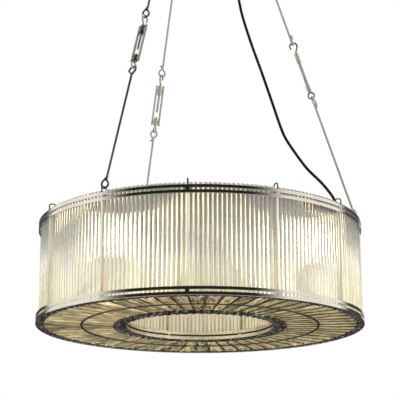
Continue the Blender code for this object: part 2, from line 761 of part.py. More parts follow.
def make_strand(number, frame, drum):
    """One strand from its staple up: lower rod, turnbuckle with eye and hook, and upper rod."""
    along, across, aside, foot = frame
    level = axes_matrix(across, along, aside, foot)
    upright = axes_matrix(aside, along, -across, foot)

    def placed(matrix, points):
        return [(*(matrix @ Vector(point[:3])), *point[3:]) for point in points]

    eye = (ROD_WIRE, EYE_RADIUS, EYE_NECK, EYE_TAIL, EYE_STEPS)
    lower = placed(level, eye_path(LOWER_EYE_FAR, 1, *eye))
    upper = placed(level, eye_path(LOWER_ROD_TOP, -1, *eye))
    path = list(reversed(lower)) + upper
    add_object(
        f"lower_rod_{number}",
        wire_curve(f"lower_rod_{number}", [path], ROD_WIRE),
        STEEL,
        drum,
    )
    lower = placed(level, eye_path(UPPER_EYE_FAR, 1, *eye))
    upper = placed(upright, eye_path(TOP_EYE_FAR, -1, *eye))
    path = list(reversed(lower)) + upper
    add_object(
        f"upper_rod_{number}",
        wire_curve(f"upper_rod_{number}", [path], ROD_WIRE),
        STEEL,
        drum,
    )

    opening = math.acos(EYEBOLT_RADIUS / (EYEBOLT_RADIUS + EYEBOLT_NECK))
    last = math.tau - math.asin((EYEBOLT_WIRE + CAP_CLEARANCE + WELD_DEPTH) / EYEBOLT_RADIUS)
    shank = SHANK_DIAMETER / EYEBOLT_WIRE
    start = TURNBUCKLE_START
    points = [(0, start + LOWER_SHANK, 0, shank), (0, start - EYEBOLT_NECK / 2, 0, shank)]
    for first, stop in ((opening, math.pi - EYEBOLT_FLAT), (math.pi + EYEBOLT_FLAT, last)):
        for across, up in arc(EYEBOLT_RADIUS, first, stop, EYEBOLT_STEPS):
            points.append((up, EYEBOLT_MIDDLE + across, 0, 1))
    add_object(
        f"turnbuckle_eye_{number}",
        wire_curve(f"turnbuckle_eye_{number}", [placed(upright, points)], EYEBOLT_WIRE),
        NICKEL,
        drum,
    )

    shank = SHANK_DIAMETER / HOOK_WIRE
    end = TURNBUCKLE_END
    middle = HOOK_CREST - HOOK_RADIUS * math.cos(HOOK_HALF_STEP)
    points = [(0, end - UPPER_SHANK, 0, shank), (0, end - WELD_DEPTH, 0, shank)]
    points += [(0, end + HOOK_WIRE / 2, 0, 1)]
    points += [(x, y, 0, 1) for x, y in arc(HOOK_RADIUS, *HOOK_SWEEP, HOOK_STEPS, (0, middle))]
    add_object(
        f"turnbuckle_hook_{number}",
        wire_curve(f"turnbuckle_hook_{number}", [placed(upright, points)], HOOK_WIRE),
        NICKEL,
        drum,
    )
    make_turnbuckle_frame(number, frame, drum)


def rounded_rectangle(half_width, bottom, top, corner, steps):
    right = half_width - corner
    middles = (
        (right, top - corner),
        (-right, top - corner),
        (-right, bottom + corner),
        (right, bottom + corner),
    )
    quarter = math.pi / 2
    outline = []
    for k, middle in enumerate(middles):
        outline += arc(corner, quarter * k, quarter * (k + 1), steps, middle)
    return outline


def make_turnbuckle_frame(number, frame, drum):
    """Open frame of a turnbuckle, with a bored boss at each end; its local Z is the strand."""
    along, across, aside, foot = frame
    half = TURNBUCKLE_LENGTH / 2
    middle = foot + along * (TURNBUCKLE_START + half)
    pivot = bpy.data.objects.new(f"turnbuckle_axis_{number}", None)
    PARTS.objects.link(pivot)
    pivot.parent = drum
    pivot.matrix_basis = axes_matrix(across, -aside, along, middle)
    window_half = TURNBUCKLE_WIDTH / 2 - TURNBUCKLE_SIDE
    outer = rounded_rectangle(TURNBUCKLE_WIDTH / 2, -half, half, TURNBUCKLE_CORNER, 1)
    window = rounded_rectangle(
        window_half, -half + BOTTOM_BOSS, half - TOP_BOSS, TURNBUCKLE_SIDE / 2, 1
    )
    curve = outline_curve(f"turnbuckle_frame_{number}", [outer, window], TURNBUCKLE_DEPTH)
    mesh = curve_to_mesh(f"turnbuckle_frame_{number}", curve)
    body = add_object(
        f"turnbuckle_frame_{number}", mesh, NICKEL, pivot, Matrix.Rotation(math.pi / 2, 4, "X")
    )
    bore = (SHANK_DIAMETER / 2 + BORE_CLEARANCE) / math.cos(math.pi / BORE_SEGMENTS)
    length = TURNBUCKLE_LENGTH + CUT_OVERRUN
    tool = [(bore, length, (0, 0, 0))]
    drill = cylinders_mesh(f"turnbuckle_bore_{number}", tool, BORE_SEGMENTS)
    drill.transform(Matrix.Rotation(-math.pi / 2, 4, "X"))
    cut(body, f"turnbuckle_bore_{number}", drill)


# Bands and frames of the drum


def slots_mesh(name, inside, outside, modules, bridge, bottom, steps):
    """Cutters for a row of slots round a band, one for each module."""
    half_bridge = bridge / 2 / outside
    outlines = []
    for start in places(modules):
        first = start + half_bridge
        last = start + math.tau / modules - half_bridge
        outlines.append(
            arc(outside, first, last, steps) + list(reversed(arc(inside, first, last, steps)))
        )
    mesh = curve_to_mesh(name, outline_curve(name, outlines, SLOT_HEIGHT))
    mesh.transform(Matrix.Translation((0, 0, bottom + BAND_HEIGHT / 2)))
    return mesh


def staple_paths():
    """Wire arches over the rods' tops, from the outer band to the posts."""
    outer_leg = TOP_BAND_RADIUS - BAND_THICKNESS / 2
    inner_leg = POST_INSIDE + STAPLE_WIRE / 2 + SEAT_GAP
    foot = POST_TOP - WELD_DEPTH
    crown = DRUM_HEIGHT + STAPLE_RISE
    profile = [
        (outer_leg, foot),
        (outer_leg, crown - STAPLE_BEND),
        (outer_leg - STAPLE_BEND, crown),
        (inner_leg + STAPLE_BEND, crown),
        (inner_leg, crown - STAPLE_BEND),
        (inner_leg, foot),
    ]
    return [
        [(r * math.cos(a), r * math.sin(a), z) for r, z in profile]
        for a in places(OUTER_MODULES)
    ]


def make_outer_top_band(drum):
    """Slotted band with the posts that run down to the bottom band, and the staples above."""
    bottom = DRUM_HEIGHT - BAND_HEIGHT
    inside = TOP_BAND_RADIUS - BAND_THICKNESS
    profile = rectangle(inside, TOP_BAND_RADIUS, bottom, DRUM_HEIGHT)
    band = turned("outer_top_band", profile, OUTER_SEGMENTS, NICKEL, drum)
    steps = OUTER_SEGMENTS // OUTER_MODULES
    reach = (inside - CUT_OVERRUN, TOP_BAND_RADIUS + CUT_OVERRUN)
    slots = slots_mesh("outer_top_slots", *reach, OUTER_MODULES, SLOT_BRIDGE, bottom, steps)
    cut(band, "outer_top_slots", slots)
    post = [
        (POST_OUTSIDE, POST_TOP),
        (POST_INSIDE, POST_TOP),
        (POST_INSIDE, BAR_BOTTOM),
        (POST_FOOT, BAR_BOTTOM),
        (POST_FOOT, ROD_BOTTOM),
        (POST_OUTSIDE, ROD_BOTTOM),
    ]
    posts = radial_flats("outer_posts", post, POST_WIDTH, places(OUTER_MODULES))
    weld(band, "outer_posts", posts)
    staples = curve_to_mesh("rim_staples", wire_curve("rim_staples", staple_paths(), STAPLE_WIRE))
    weld(band, "rim_staples", staples)


def make_outer_bottom_band(drum):
    """Slotted band of L section, whose ledge carries the rods and the glass plates."""
    inside = DRUM_RADIUS - BAND_THICKNESS
    profile = [
        (DRUM_RADIUS, BAND_HEIGHT),
        (DRUM_RADIUS, 0),
        (LEDGE_INNER_EDGE, 0),
        (LEDGE_INNER_EDGE, LEDGE_THICKNESS),
        (inside, LEDGE_THICKNESS),
        (inside, BAND_HEIGHT),
    ]
    band = turned("outer_bottom_band", profile, OUTER_SEGMENTS, NICKEL, drum)
    steps = OUTER_SEGMENTS // OUTER_MODULES
    reach = (inside - BAND_THICKNESS, DRUM_RADIUS + CUT_OVERRUN)
    slots = slots_mesh("outer_bottom_slots", *reach, OUTER_MODULES, SLOT_BRIDGE, 0, steps)
    cut(band, "outer_bottom_slots", slots)


def make_inner_top_band(drum):
    """Slotted band round the middle, with the posts that run down to the inner bottom band."""
    bottom = DRUM_HEIGHT - BAND_HEIGHT
    outside = INNER_TOP_BAND_INSIDE + BAND_THICKNESS
    profile = rectangle(INNER_TOP_BAND_INSIDE, outside, bottom, DRUM_HEIGHT)
    band = turned("inner_top_band", profile, INNER_SEGMENTS, NICKEL, drum)
    steps = INNER_SEGMENTS // INNER_MODULES
    reach = (INNER_TOP_BAND_INSIDE - CUT_OVERRUN, outside + CUT_OVERRUN)
    slots = slots_mesh("inner_top_slots", *reach, INNER_MODULES, SLOT_BRIDGE, bottom, steps)
    cut(band, "inner_top_slots", slots)
    height = POST_TOP - ROD_BOTTOM
    size = (INNER_POST_DEPTH, POST_WIDTH, height)
    middle = ((INNER_POST_INSIDE + INNER_POST_OUTSIDE) / 2, 0, ROD_BOTTOM + height / 2)
    posts = [(size, middle, bearing) for bearing in places(INNER_MODULES)]
    weld(band, "inner_posts", boxes_mesh("inner_posts", posts))


def make_inner_bottom_band(drum):
    """Slotted band round the middle, whose wide ledge carries the inner rods and plates."""
    outside = HOLE_RADIUS + BAND_THICKNESS
    profile = [
        (INNER_LEDGE_EDGE, LEDGE_THICKNESS),
        (INNER_LEDGE_EDGE, 0),
        (HOLE_RADIUS, 0),
        (HOLE_RADIUS, BAND_HEIGHT),
        (outside, BAND_HEIGHT),
        (outside, LEDGE_THICKNESS),
    ]
    band = turned("inner_bottom_band", profile, INNER_SEGMENTS, NICKEL, drum)
    steps = INNER_SEGMENTS // INNER_MODULES
    reach = (HOLE_RADIUS - CUT_OVERRUN, outside + BAND_THICKNESS)
    slots = slots_mesh("inner_bottom_slots", *reach, INNER_MODULES, SLOT_BRIDGE, 0, steps)
    cut(band, "inner_bottom_slots", slots)


def make_underside_frame(drum):
    """Mid ring under the plates' meeting edges, hung from radial bars between the posts."""
    inside = MID_RING_RADIUS - MID_RING_WIDTH / 2
    outside = MID_RING_RADIUS + MID_RING_WIDTH / 2
    profile = rectangle(inside, outside, 0, LEDGE_THICKNESS)
    ring = turned("underside_frame", profile, OUTER_SEGMENTS, NICKEL, drum)
    inner_end = INNER_POST_OUTSIDE + SEAT_GAP
    outer_end = POST_INSIDE - SEAT_GAP
    bearings = places(INNER_MODULES)
    foot = LEDGE_THICKNESS - WELD_DEPTH
    height = BAR_BOTTOM + WELD_DEPTH - foot
    stud = (MID_RING_STUD, BAR_WIDTH - 2 * WELD_DEPTH, height)
    middle = (MID_RING_RADIUS, 0, foot + height / 2)
    weld(ring, "ring_studs", boxes_mesh("ring_studs", [(stud, middle, a) for a in bearings]))
    bar = (outer_end - inner_end, BAR_WIDTH, BAR_HEIGHT)
    middle = ((inner_end + outer_end) / 2, 0, BAR_BOTTOM + BAR_HEIGHT / 2)
    weld(ring, "radial_bars", boxes_mesh("radial_bars", [(bar, middle, a) for a in bearings]))


def make_lamp_frame(drum):
    """Flat ring on bent straps between the posts, with a bracket for each lampholder."""
    bottom = LAMP_FRAME_Z
    top = LAMP_FRAME_TOP
    middle_z = (bottom + top) / 2
    half_ring = LAMP_RING_THICKNESS / 2
    profile = rectangle(
        LAMP_RING_INSIDE, LAMP_RING_OUTSIDE, middle_z - half_ring, middle_z + half_ring
    )
    ring = turned("lamp_frame", profile, INNER_SEGMENTS, FRAME_PAINT, drum)
    inner_face = INNER_POST_OUTSIDE + SEAT_GAP
    outer_face = POST_INSIDE - SEAT_GAP
    strap = [
        (inner_face, POST_TOP),
        (inner_face, bottom),
        (outer_face, bottom),
        (outer_face, POST_TOP),
        (outer_face - STRAP_THICKNESS, POST_TOP),
        (outer_face - STRAP_THICKNESS, top),
        (inner_face + STRAP_THICKNESS, top),
        (inner_face + STRAP_THICKNESS, POST_TOP),
    ]
    straps = radial_flats("lamp_straps", strap, SPOKE_WIDTH, places(INNER_MODULES))
    weld(ring, "lamp_straps", straps)

    foot = LAMP_Z - BRACKET_FOOT
    height = middle_z - foot
    bracket = (LAMP_RING_WIDTH - STRAP_THICKNESS, STRAP_THICKNESS, height)
    across = HOLDER_LENGTH + SEAT_GAP + STRAP_THICKNESS / 2
    middle = (LAMP_CIRCLE_RADIUS, across, foot + height / 2)
    brackets = [(bracket, middle, a) for a in places(LAMP_COUNT, LAMP_BEARING)]
    weld(ring, "lamp_brackets", boxes_mesh("lamp_brackets", brackets))

    tab = (BOX_DEPTH + LAMP_RING_WIDTH / 4, BOX_TAB_WIDTH, STRAP_THICKNESS)
    middle = (LAMP_RING_OUTSIDE + BOX_DEPTH - tab[0] / 2, 0, middle_z)
    weld(ring, "box_tab", boxes_mesh("box_tab", [(tab, middle, BOX_BEARING)]))


# Glass


def rod_module_outline(circle, modules, start, front):
    """Outline of one module's rods, side by side between two posts.

    front is +1 where the rods' round sides face outward and -1 where they face the middle. The
    side that looks into the lamp space is a plain arc at the rods' own depth.
    """
    gap = (POST_WIDTH + 2 * ROD_CLEARANCE) / circle
    sweep = math.tau / modules - gap
    count = max(1, round(sweep * circle / ROD_DIAMETER))
    first = start + gap / 2
    round_side = []
    for k in range(count):
        for i in range(ROD_FACETS):
            share = i / ROD_FACETS
            depth = max(ROD_NECK / 2, ROD_RADIUS * math.sin(math.pi * share))
            across = (k + (1 - math.cos(math.pi * share)) / 2) / count
            round_side.append((circle + front * depth, first + sweep * across))
    round_side.append((circle + front * ROD_NECK / 2, first + sweep))
    back_side = [
        (circle - front * ROD_RADIUS, first + sweep * i / ROD_BACK_STEPS)
        for i in range(ROD_BACK_STEPS + 1)
    ]
    outline = round_side + list(reversed(back_side))
    return [(r * math.cos(a), r * math.sin(a)) for r, a in outline]


def make_rod_wall(name, circle, modules, front, drum):
    for k, start in enumerate(places(modules)):
        title = f"{name}_{k + 1:02d}"
        outline = rod_module_outline(circle, modules, start, front)
        curve = outline_curve(title, [outline], ROD_LENGTH)
        place = Matrix.Translation((0, 0, ROD_BOTTOM + ROD_LENGTH / 2))
        add_object(title, curve, CLEAR_GLASS, drum, place)


def plate_ring_mesh(name, inside, outside, count):
    """A ring of radial plates, edge to edge, each a step lower than the next at their joint."""
    step = PLATE_BOTTOM + PLATE_STEP

    def build(model):
        joints = []
        for bearing in places(count):
            way = Vector((math.cos(bearing), math.sin(bearing), 0))
            joint = {}
            for end, radius in (("inner", inside), ("outer", outside)):
                for height in (PLATE_TOP, step, PLATE_BOTTOM):
                    joint[end, height] = model.verts.new(way * radius + Vector((0, 0, height)))
            joints.append(joint)
        for here, there in zip(joints, joints[1:] + joints[:1]):
            strips = (
                (here, PLATE_TOP, there, PLATE_TOP),
                (here, step, there, PLATE_BOTTOM),
                (there, PLATE_BOTTOM, there, step),
            )
            for a, low, b, high in strips:
                sides = (a["inner", low], b["inner", high], b["outer", high], a["outer", low])
                model.faces.new(sides)
            for end in ("inner", "outer"):
                model.faces.new(
                    (
                        here[end, PLATE_TOP],
                        here[end, step],
                        there[end, PLATE_BOTTOM],
                        there[end, step],
                        there[end, PLATE_TOP],
                    )
                )

    return mesh_from(name, build)


def make_plates(drum):
    count = round(math.tau * PLATE_OUTER_EDGE / PLATE_WIDTH)
    edge = MID_RING_STUD / 2 + SEAT_GAP
    skew = BAR_WIDTH / 2 * math.tan(math.pi / count)
    outer = plate_ring_mesh(
        "outer_glass_plates", MID_RING_RADIUS + edge + skew, PLATE_OUTER_EDGE, count
    )
    add_object("outer_glass_plates", outer, PLATE_GLASS, drum)
    inner = plate_ring_mesh(
        "inner_glass_plates", PLATE_INNER_EDGE, MID_RING_RADIUS - edge, count
    )
    add_object("inner_glass_plates", inner, PLATE_GLASS, drum)


# Lamps, box, gland and wiring


def lamp_frame_matrix(bearing):
    """At a lampholder's mouth, with +Z along the lamp towards the glass."""
    outward = Vector((math.cos(bearing), math.sin(bearing), 0))
    onward = Vector((math.sin(bearing), -math.cos(bearing), 0))
    origin = outward * LAMP_CIRCLE_RADIUS + Vector((0, 0, LAMP_Z))
    return axes_matrix(outward, onward.cross(outward), onward, origin)


def make_lamps(drum):
    bore = (CAP_RADIUS + CAP_CLEARANCE) / math.cos(math.pi / ROUND_SEGMENTS)
    floor = -CAP_DEPTH - CAP_CLEARANCE
    step = HOLDER_RADIUS - HOLDER_WAIST_RADIUS
    holder_profile = [
        (0, floor),
        (bore, floor),
        (bore, 0),
        (HOLDER_RADIUS, 0),
        (HOLDER_RADIUS, -HOLDER_SKIRT),
        (HOLDER_WAIST_RADIUS, -HOLDER_SKIRT - step),
        (HOLDER_WAIST_RADIUS, -HOLDER_LENGTH + 3 * step),
        (HOLDER_BACK_RADIUS, -HOLDER_LENGTH),
        (0, -HOLDER_LENGTH),
    ]
    middle = BULB_REACH - BULB_RADIUS
    ball = arc(BULB_RADIUS, math.pi / 2, BALL_NECK_ANGLE, BALL_STEPS, (0, middle))
    contact = CAP_RADIUS / 2
    bulb_profile = [
        (0, BULB_REACH),
        *ball[1:],
        (CAP_RADIUS + CAP_CLEARANCE, NECK_LENGTH),
        (CAP_RADIUS, NECK_LENGTH / 2),
        (CAP_RADIUS, contact - CAP_DEPTH),
        (contact, -CAP_DEPTH),
        (0, -CAP_DEPTH),
    ]
    for k, bearing in enumerate(places(LAMP_COUNT, LAMP_BEARING)):
        matrix = lamp_frame_matrix(bearing)
        holder = f"lampholder_{k + 1}"
        turned(holder, holder_profile, ROUND_SEGMENTS, BLACK_PLASTIC, drum, False, matrix)
        bulb = f"bulb_{k + 1}"
        turned(bulb, bulb_profile, ROUND_SEGMENTS, LAMP_GLASS, drum, False, matrix)


def box_matrix():
    """At the junction box's outer face, with +Z outward along the gland."""
    outward = Vector((math.cos(BOX_BEARING), math.sin(BOX_BEARING), 0))
    up = Vector((0, 0, 1))
    origin = outward * (LAMP_RING_OUTSIDE + BOX_DEPTH) + up * GLAND_Z
    return axes_matrix(up.cross(outward), up, outward, origin)


def make_box_and_gland(drum):
    def build(model):
        size = Matrix.Diagonal((BOX_LENGTH, BOX_HEIGHT, BOX_DEPTH, 1))
        place = Matrix.Translation((0, 0, -BOX_DEPTH / 2))
        bmesh.ops.create_cube(model, size=1, matrix=place @ size)

    block = mesh_from("junction_box", build)
    box = add_object("junction_box", block, BLACK_PLASTIC, drum, box_matrix())
    edges = box.modifiers.new("edges", "BEVEL")
    edges.width = BOX_CORNER
    edges.segments = 1
    edges.limit_method = "ANGLE"
    edges.angle_limit = SHARP_ANGLE
    nut = SEAT_GAP + GLAND_LENGTH
    tip = nut + BOOT_LENGTH
    profile = [
        (0, tip),
        (CABLE_DIAMETER / 2 + CAP_CLEARANCE, tip),
        (BOOT_RADIUS, nut),
        (GLAND_RADIUS, nut),
        (GLAND_RADIUS, SEAT_GAP),
        (0, SEAT_GAP),
    ]
    turned("cable_gland", profile, ROUND_SEGMENTS, BLACK_PLASTIC, drum, False, box_matrix())


def make_supply_cable(drum):
    """Flex from inside the canopy to the gland, in the upright plane of its bearing."""
    outward = bearing_vector(CABLE_BEARING)
    pairs = list(CABLE_AT_CANOPY)
    pairs += [(share * DRUM_RADIUS, z) for share, z in CABLE_ON_SLOPE]
    turn = CABLE_FURTHEST - CABLE_END
    pairs += [(CABLE_END + share * turn, z) for share, z in CABLE_AT_WALL]
    route = [outward * r + Vector((0, 0, DRUM_TOP_Z + z)) for r, z in pairs]
    end = outward * CABLE_END + Vector((0, 0, DRUM_BOTTOM_Z + GLAND_Z))
    route.append(end + outward * CABLE_STRAIGHT)
    path = smooth_path(route, end, CABLE_SPACING, CABLE_BEND_PER_POINT)
    length = sum((b - a).length for a, b in zip(path, path[1:]))
    print(f"supply cable: {length:.3f} m on {len(path)} points")
    curve = wire_curve("supply_cable", [[tuple(point) for point in path]], CABLE_DIAMETER, 2)
    add_object("supply_cable", curve, CABLE_BLACK, drum, drum.matrix_world.inverted())


def make_lamp_wiring(drum):
    """Flex round the lamp ring that dips inside it onto each lampholder's waist."""
    radius = LOOM_DIAMETER / 2
    ring_height = LAMP_FRAME_TOP + SEAT_GAP + radius
    side = LAMP_RING_INSIDE - radius - LOOM_CLEARANCE
    rest = LAMP_Z + HOLDER_WAIST_RADIUS * math.cos(math.pi / ROUND_SEGMENTS) + SEAT_GAP + radius
    waist = (HOLDER_SKIRT + HOLDER_LENGTH) / 2
    half_dip = LOOM_DIP_WIDTH / 2
    slope = half_dip / 2
    dip = (
        (waist - half_dip - slope, LAMP_CIRCLE_RADIUS, ring_height),
        (waist - half_dip, side, ring_height),
        (waist - slope, side, (ring_height + rest) / 2),
        (waist, LAMP_CIRCLE_RADIUS, rest),
        (waist + slope, side, (ring_height + rest) / 2),
        (waist + half_dip, side, ring_height),
        (waist + half_dip + slope, LAMP_CIRCLE_RADIUS, ring_height),
    )
    path = []
    for bearing in places(LAMP_COUNT, LAMP_BEARING):
        stops = [(bearing + across / LAMP_CIRCLE_RADIUS, *rest) for across, *rest in dip]
        last = stops[-1][0]
        for i in range(1, LOOM_REST_POINTS + 1):
            stops.append((last + LOOM_STEP * i, LAMP_CIRCLE_RADIUS, ring_height))
        for turn, distance, height in stops:
            path.append((distance * math.cos(turn), distance * math.sin(turn), height))
    add_object("lamp_wiring", wire_curve("lamp_wiring", [path], LOOM_DIAMETER), CABLE_BLACK, drum)


def build_light():
    fitting = empty_at("hook_axis", None, turn=CABLE_BEARING)
    hook_pivot = empty_at("hook_pivot", fitting, (0, 0, HOOK_PIVOT_Z))
    ring_pivot = empty_at("ring_pivot", hook_pivot, (0, 0, RING_PIVOT_Z - HOOK_PIVOT_Z))
    drum = empty_at(
        "drum_axis",
        ring_pivot,
        (0, 0, DRUM_BOTTOM_Z - RING_PIVOT_Z),
        turn=FIRST_STRAND_BEARING - math.pi / 2 - CABLE_BEARING,
    )
    bpy.context.view_layer.update()

    make_ceiling_plate()
    make_canopy_cup()
    make_ceiling_hook(fitting)
    make_suspension_ring(hook_pivot)
    make_hanger_eye(ring_pivot)
    make_hanger_plate(ring_pivot, drum)
    for number, frame in enumerate(strand_frames(), start=1):
        make_strand(number, frame, drum)
    make_outer_top_band(drum)
    make_outer_bottom_band(drum)
    make_inner_top_band(drum)
    make_inner_bottom_band(drum)
    make_underside_frame(drum)
    make_lamp_frame(drum)
    make_rod_wall("outer_rods", OUTER_ROD_CIRCLE, OUTER_MODULES, 1, drum)
    make_rod_wall("inner_rods", INNER_ROD_CIRCLE, INNER_MODULES, -1, drum)
    make_plates(drum)
    make_lamps(drum)
    make_box_and_gland(drum)
    make_lamp_wiring(drum)
    make_supply_cable(drum)
    bpy.context.view_layer.update()


build_light()
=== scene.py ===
"""Finished look of the ring-shaped drum pendant light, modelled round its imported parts."""

import json
import math

import bmesh
import bpy
from bpy.props import FloatProperty, FloatVectorProperty, IntProperty, PointerProperty
from mathutils import Matrix, Vector


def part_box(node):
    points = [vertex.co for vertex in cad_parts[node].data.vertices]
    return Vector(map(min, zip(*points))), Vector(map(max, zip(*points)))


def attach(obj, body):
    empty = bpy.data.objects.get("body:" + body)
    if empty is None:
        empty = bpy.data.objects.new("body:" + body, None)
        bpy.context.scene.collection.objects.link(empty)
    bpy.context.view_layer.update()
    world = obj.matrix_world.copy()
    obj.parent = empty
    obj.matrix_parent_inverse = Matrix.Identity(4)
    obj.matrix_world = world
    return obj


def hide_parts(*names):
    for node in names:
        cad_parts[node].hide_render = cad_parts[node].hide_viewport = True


bl_info = {
    "name": "Drum Pendant Light",
    "version": (1, 0, 0),
    "blender": (4, 5, 0),
    "location": "3D View > Sidebar > Pendant",
    "description": "Builds the finished look of a ring-shaped drum pendant light",
    "category": "Object",
}

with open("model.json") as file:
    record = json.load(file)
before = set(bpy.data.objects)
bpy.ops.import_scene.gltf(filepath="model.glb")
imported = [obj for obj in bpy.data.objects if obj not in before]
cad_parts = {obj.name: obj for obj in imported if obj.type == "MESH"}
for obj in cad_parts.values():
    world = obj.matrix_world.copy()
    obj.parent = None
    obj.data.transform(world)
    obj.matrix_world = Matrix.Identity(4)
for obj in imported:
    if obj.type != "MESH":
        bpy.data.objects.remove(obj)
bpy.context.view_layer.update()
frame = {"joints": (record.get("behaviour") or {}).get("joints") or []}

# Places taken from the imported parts
JOINTS = {joint["name"]: joint for joint in frame["joints"]}
STRAND_JOINTS = [JOINTS[f"turnbuckle_turn_{k}"] for k in (1, 2, 3)]
LAMP_JOINTS = [JOINTS[f"bulb_turn_{k}"] for k in (1, 2, 3, 4)]
FIRST_BEARING = math.atan2(STRAND_JOINTS[0]["pos_m"][1], STRAND_JOINTS[0]["pos_m"][0])
DRUM_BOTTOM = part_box("outer_bottom_band")[0].z
DRUM = Matrix.Translation((0, 0, DRUM_BOTTOM)) @ Matrix.Rotation(FIRST_BEARING, 4, "Z")
HOOK_PIVOT = Vector(JOINTS["hook_swing"]["pos_m"])
RING_PIVOT = Vector(JOINTS["ring_swing"]["pos_m"])
HOOK_AXIS = Vector(JOINTS["hook_swing"]["axis"])
FITTING = Matrix.Rotation(math.atan2(HOOK_AXIS.y, HOOK_AXIS.x), 4, "Z")

# Meshes
IDENTITY = Matrix.Identity(4)
UP = Vector((0, 0, 1))
MERGE_DISTANCE = 0.000005
SHARP_EDGE = math.radians(35)
LEDGE_SHARP_EDGE = math.radians(15)
ROD_SHARP_EDGE = math.radians(50)
THREAD_SHARP_EDGE = math.radians(70)
BEVEL_ANGLE = math.radians(40)
CURVE_SAMPLES = 24
WIRE_SIDES = 3
THICK_WIRE_SIDES = 4
HEX_SIDES = 6

# Drum
OUTER_MODULES = 12
INNER_MODULES = 6
BAND_HEIGHT = 0.0200
BAND_THICKNESS = 0.0035
BAND_STEPS = 21
TOP_INSET = 0.0015
SLOT_HEIGHT = 0.0042
SLOT_BRIDGE_STEPS = 1
# Gap and thickness of the black sheet behind the inner bottom band's slots, which is painted shade in
# them
SHADE_SHEET_GAP = 0.0001
SHADE_SHEET_THICKNESS = 0.0003
LEDGE_THICKNESS = 0.0025
INNER_LEDGE_WIDTH = 0.0320
OUTER_LEDGE_REACH = 0.0091
LEDGE_ROWS = 4
SEAT = 0.0003

# Diamonds of each ledge: how many round it, and their low and high points
INNER_CUTS = (60, -0.0022, 0.0020)
OUTER_CUTS = (110, 0.0, 0.0020)

# Posts and arches
POST_WIDTH = 0.0042
POST_DROP = 0.0010
INNER_POST_DEPTH = 0.0160
OUTER_POST_REACH = 0.0094
OUTER_POST_INSET = 0.0040
STAPLE_RISE = 0.0150
STAPLE_WIRE = 0.0032
STAPLE_BEND = 0.0060
STAPLE_ROOT = 0.0020
STAPLE_STEPS = 6

# Rods, plates and the underside frame
ROD_CLEARANCE = 0.0004
ROD_STAND = 0.0060
RODS_PER_MODULE = 19
OUTER_ROD_SETBACK = 0.0067
INNER_ROD_SETBACK = 0.0052
PLATES_PER_RING = 60
PLATE_THICKNESS = 0.0035
PLATE_LAP = 0.0010
PLATE_JOINT = 0.0006
PLATE_CORNER = 0.0005
PLATE_CHART = "plate chart"
CHART_STEP = 7.31
OUTER_PLATE_REACH = 0.0060
INNER_PLATE_REST = 0.0035
MID_PLATE_REST = 0.0014
MID_RING_RADIUS = 0.2887
MID_RING_WIDTH = 0.0056
MID_RING_ROUNDING_SHARE = 1.6
BAR_WIDTH = 0.0060
BAR_HEIGHT = 0.0045
BAR_LIFT = 0.0040

# Lamp frame
LAMP_CIRCLE = 0.2800
LAMP_RING_WIDTH = 0.0240
LAMP_RING_THICKNESS = 0.0020
LAMP_RING_STEPS = 180
LAMP_FRAME_DROP = 0.0140
STRAP_WIDTH = 0.0200
STRAP_THICKNESS = 0.0030
STRAP_LAP = 0.0002
STRAP_CORNER = 0.0006
BRACKET_DROP = 0.0140
BOX_TAB_WIDTH = 0.0240
LAMPS = 4
LAMP_BEARING = math.radians(5.5)
LAMP_DROP = 0.0800

# Lamps, measured from the lampholder's mouth
LAMP_STEPS = 48
HOLDER_LENGTH = 0.0580
HOLDER_SKIRT = 0.0300
HOLDER_RADIUS = 0.0200
HOLDER_WAIST = 0.0170
HOLDER_SHOULDER = 0.0030
HOLDER_TAIL = 0.0090
HOLDER_BACK = 0.0130
HOLDER_CORNER = 0.0008
WELL_DEPTH = 0.0276
WELL_CLEARANCE = 0.0010
WELL_CORNER = 0.0004
HOLDER_RIBS = 8
RIB_MARGIN = 0.0020
RIB_DEPTH = 0.0006
RIB_FLANK = 0.0008
RIB_GROOVE = 0.0012
CAP_RADIUS = 0.0133
CAP_TURNS = 7
CAP_PITCH = 0.0033
CAP_THREAD = 0.0009
CAP_TOP = 0.0010
CAP_COLLAR = 0.0060
CAP_COLLAR_REACH = 0.0006
CAP_TIP = 0.0270
CAP_TIP_RISE = 0.0015
NECK_WAIST = 0.0006
NECK_RISE = 0.0020
BULB_RADIUS = 0.0300
BULB_REACH = 0.0750
BULB_END = math.radians(-48)
BULB_STEPS = 26

# Junction box and gland
BOX_BEARING = math.radians(94)
BOX_SIZE = (0.0600, 0.0240, 0.0260)
BOX_CORNER = 0.0016
SCREW_SHARE = 0.42
SCREW_RISE = 0.0002
SCREW_STEPS = 24
SCREW_PROFILE = ((0, 0.0006), (0.0018, 0.0006), (0.0024, 0), (0.0024, -0.0010), (0, -0.0010))
GLAND_LENGTH = 0.0060
GLAND_RADIUS = 0.0085
GLAND_CORNER = 0.0005
BOOT_LENGTH = 0.0180
BOOT_RINGS = 7
BOOT_FOOT = 0.0070
BOOT_RADIUS = 0.0066
BOOT_TAPER = 0.0022
BOOT_GROOVE = 0.0006
BOOT_MOUTH = 0.0036
BOOT_STEPS = 32

# Body, lid and the seam between them: shares of the box's three sizes, and of its depth to the middle
BOX_PART_SHARES = ((1, 1, 0.72, 0.64), (1, 1, 0.26, 0.13), (0.97, 0.94, 0.10, 0.27))

# Where each of the boot's rings starts, ends and has sunk to its groove, in shares of the pitch
BOOT_RING_SHARES = (0.15, 0.60, 0.72)

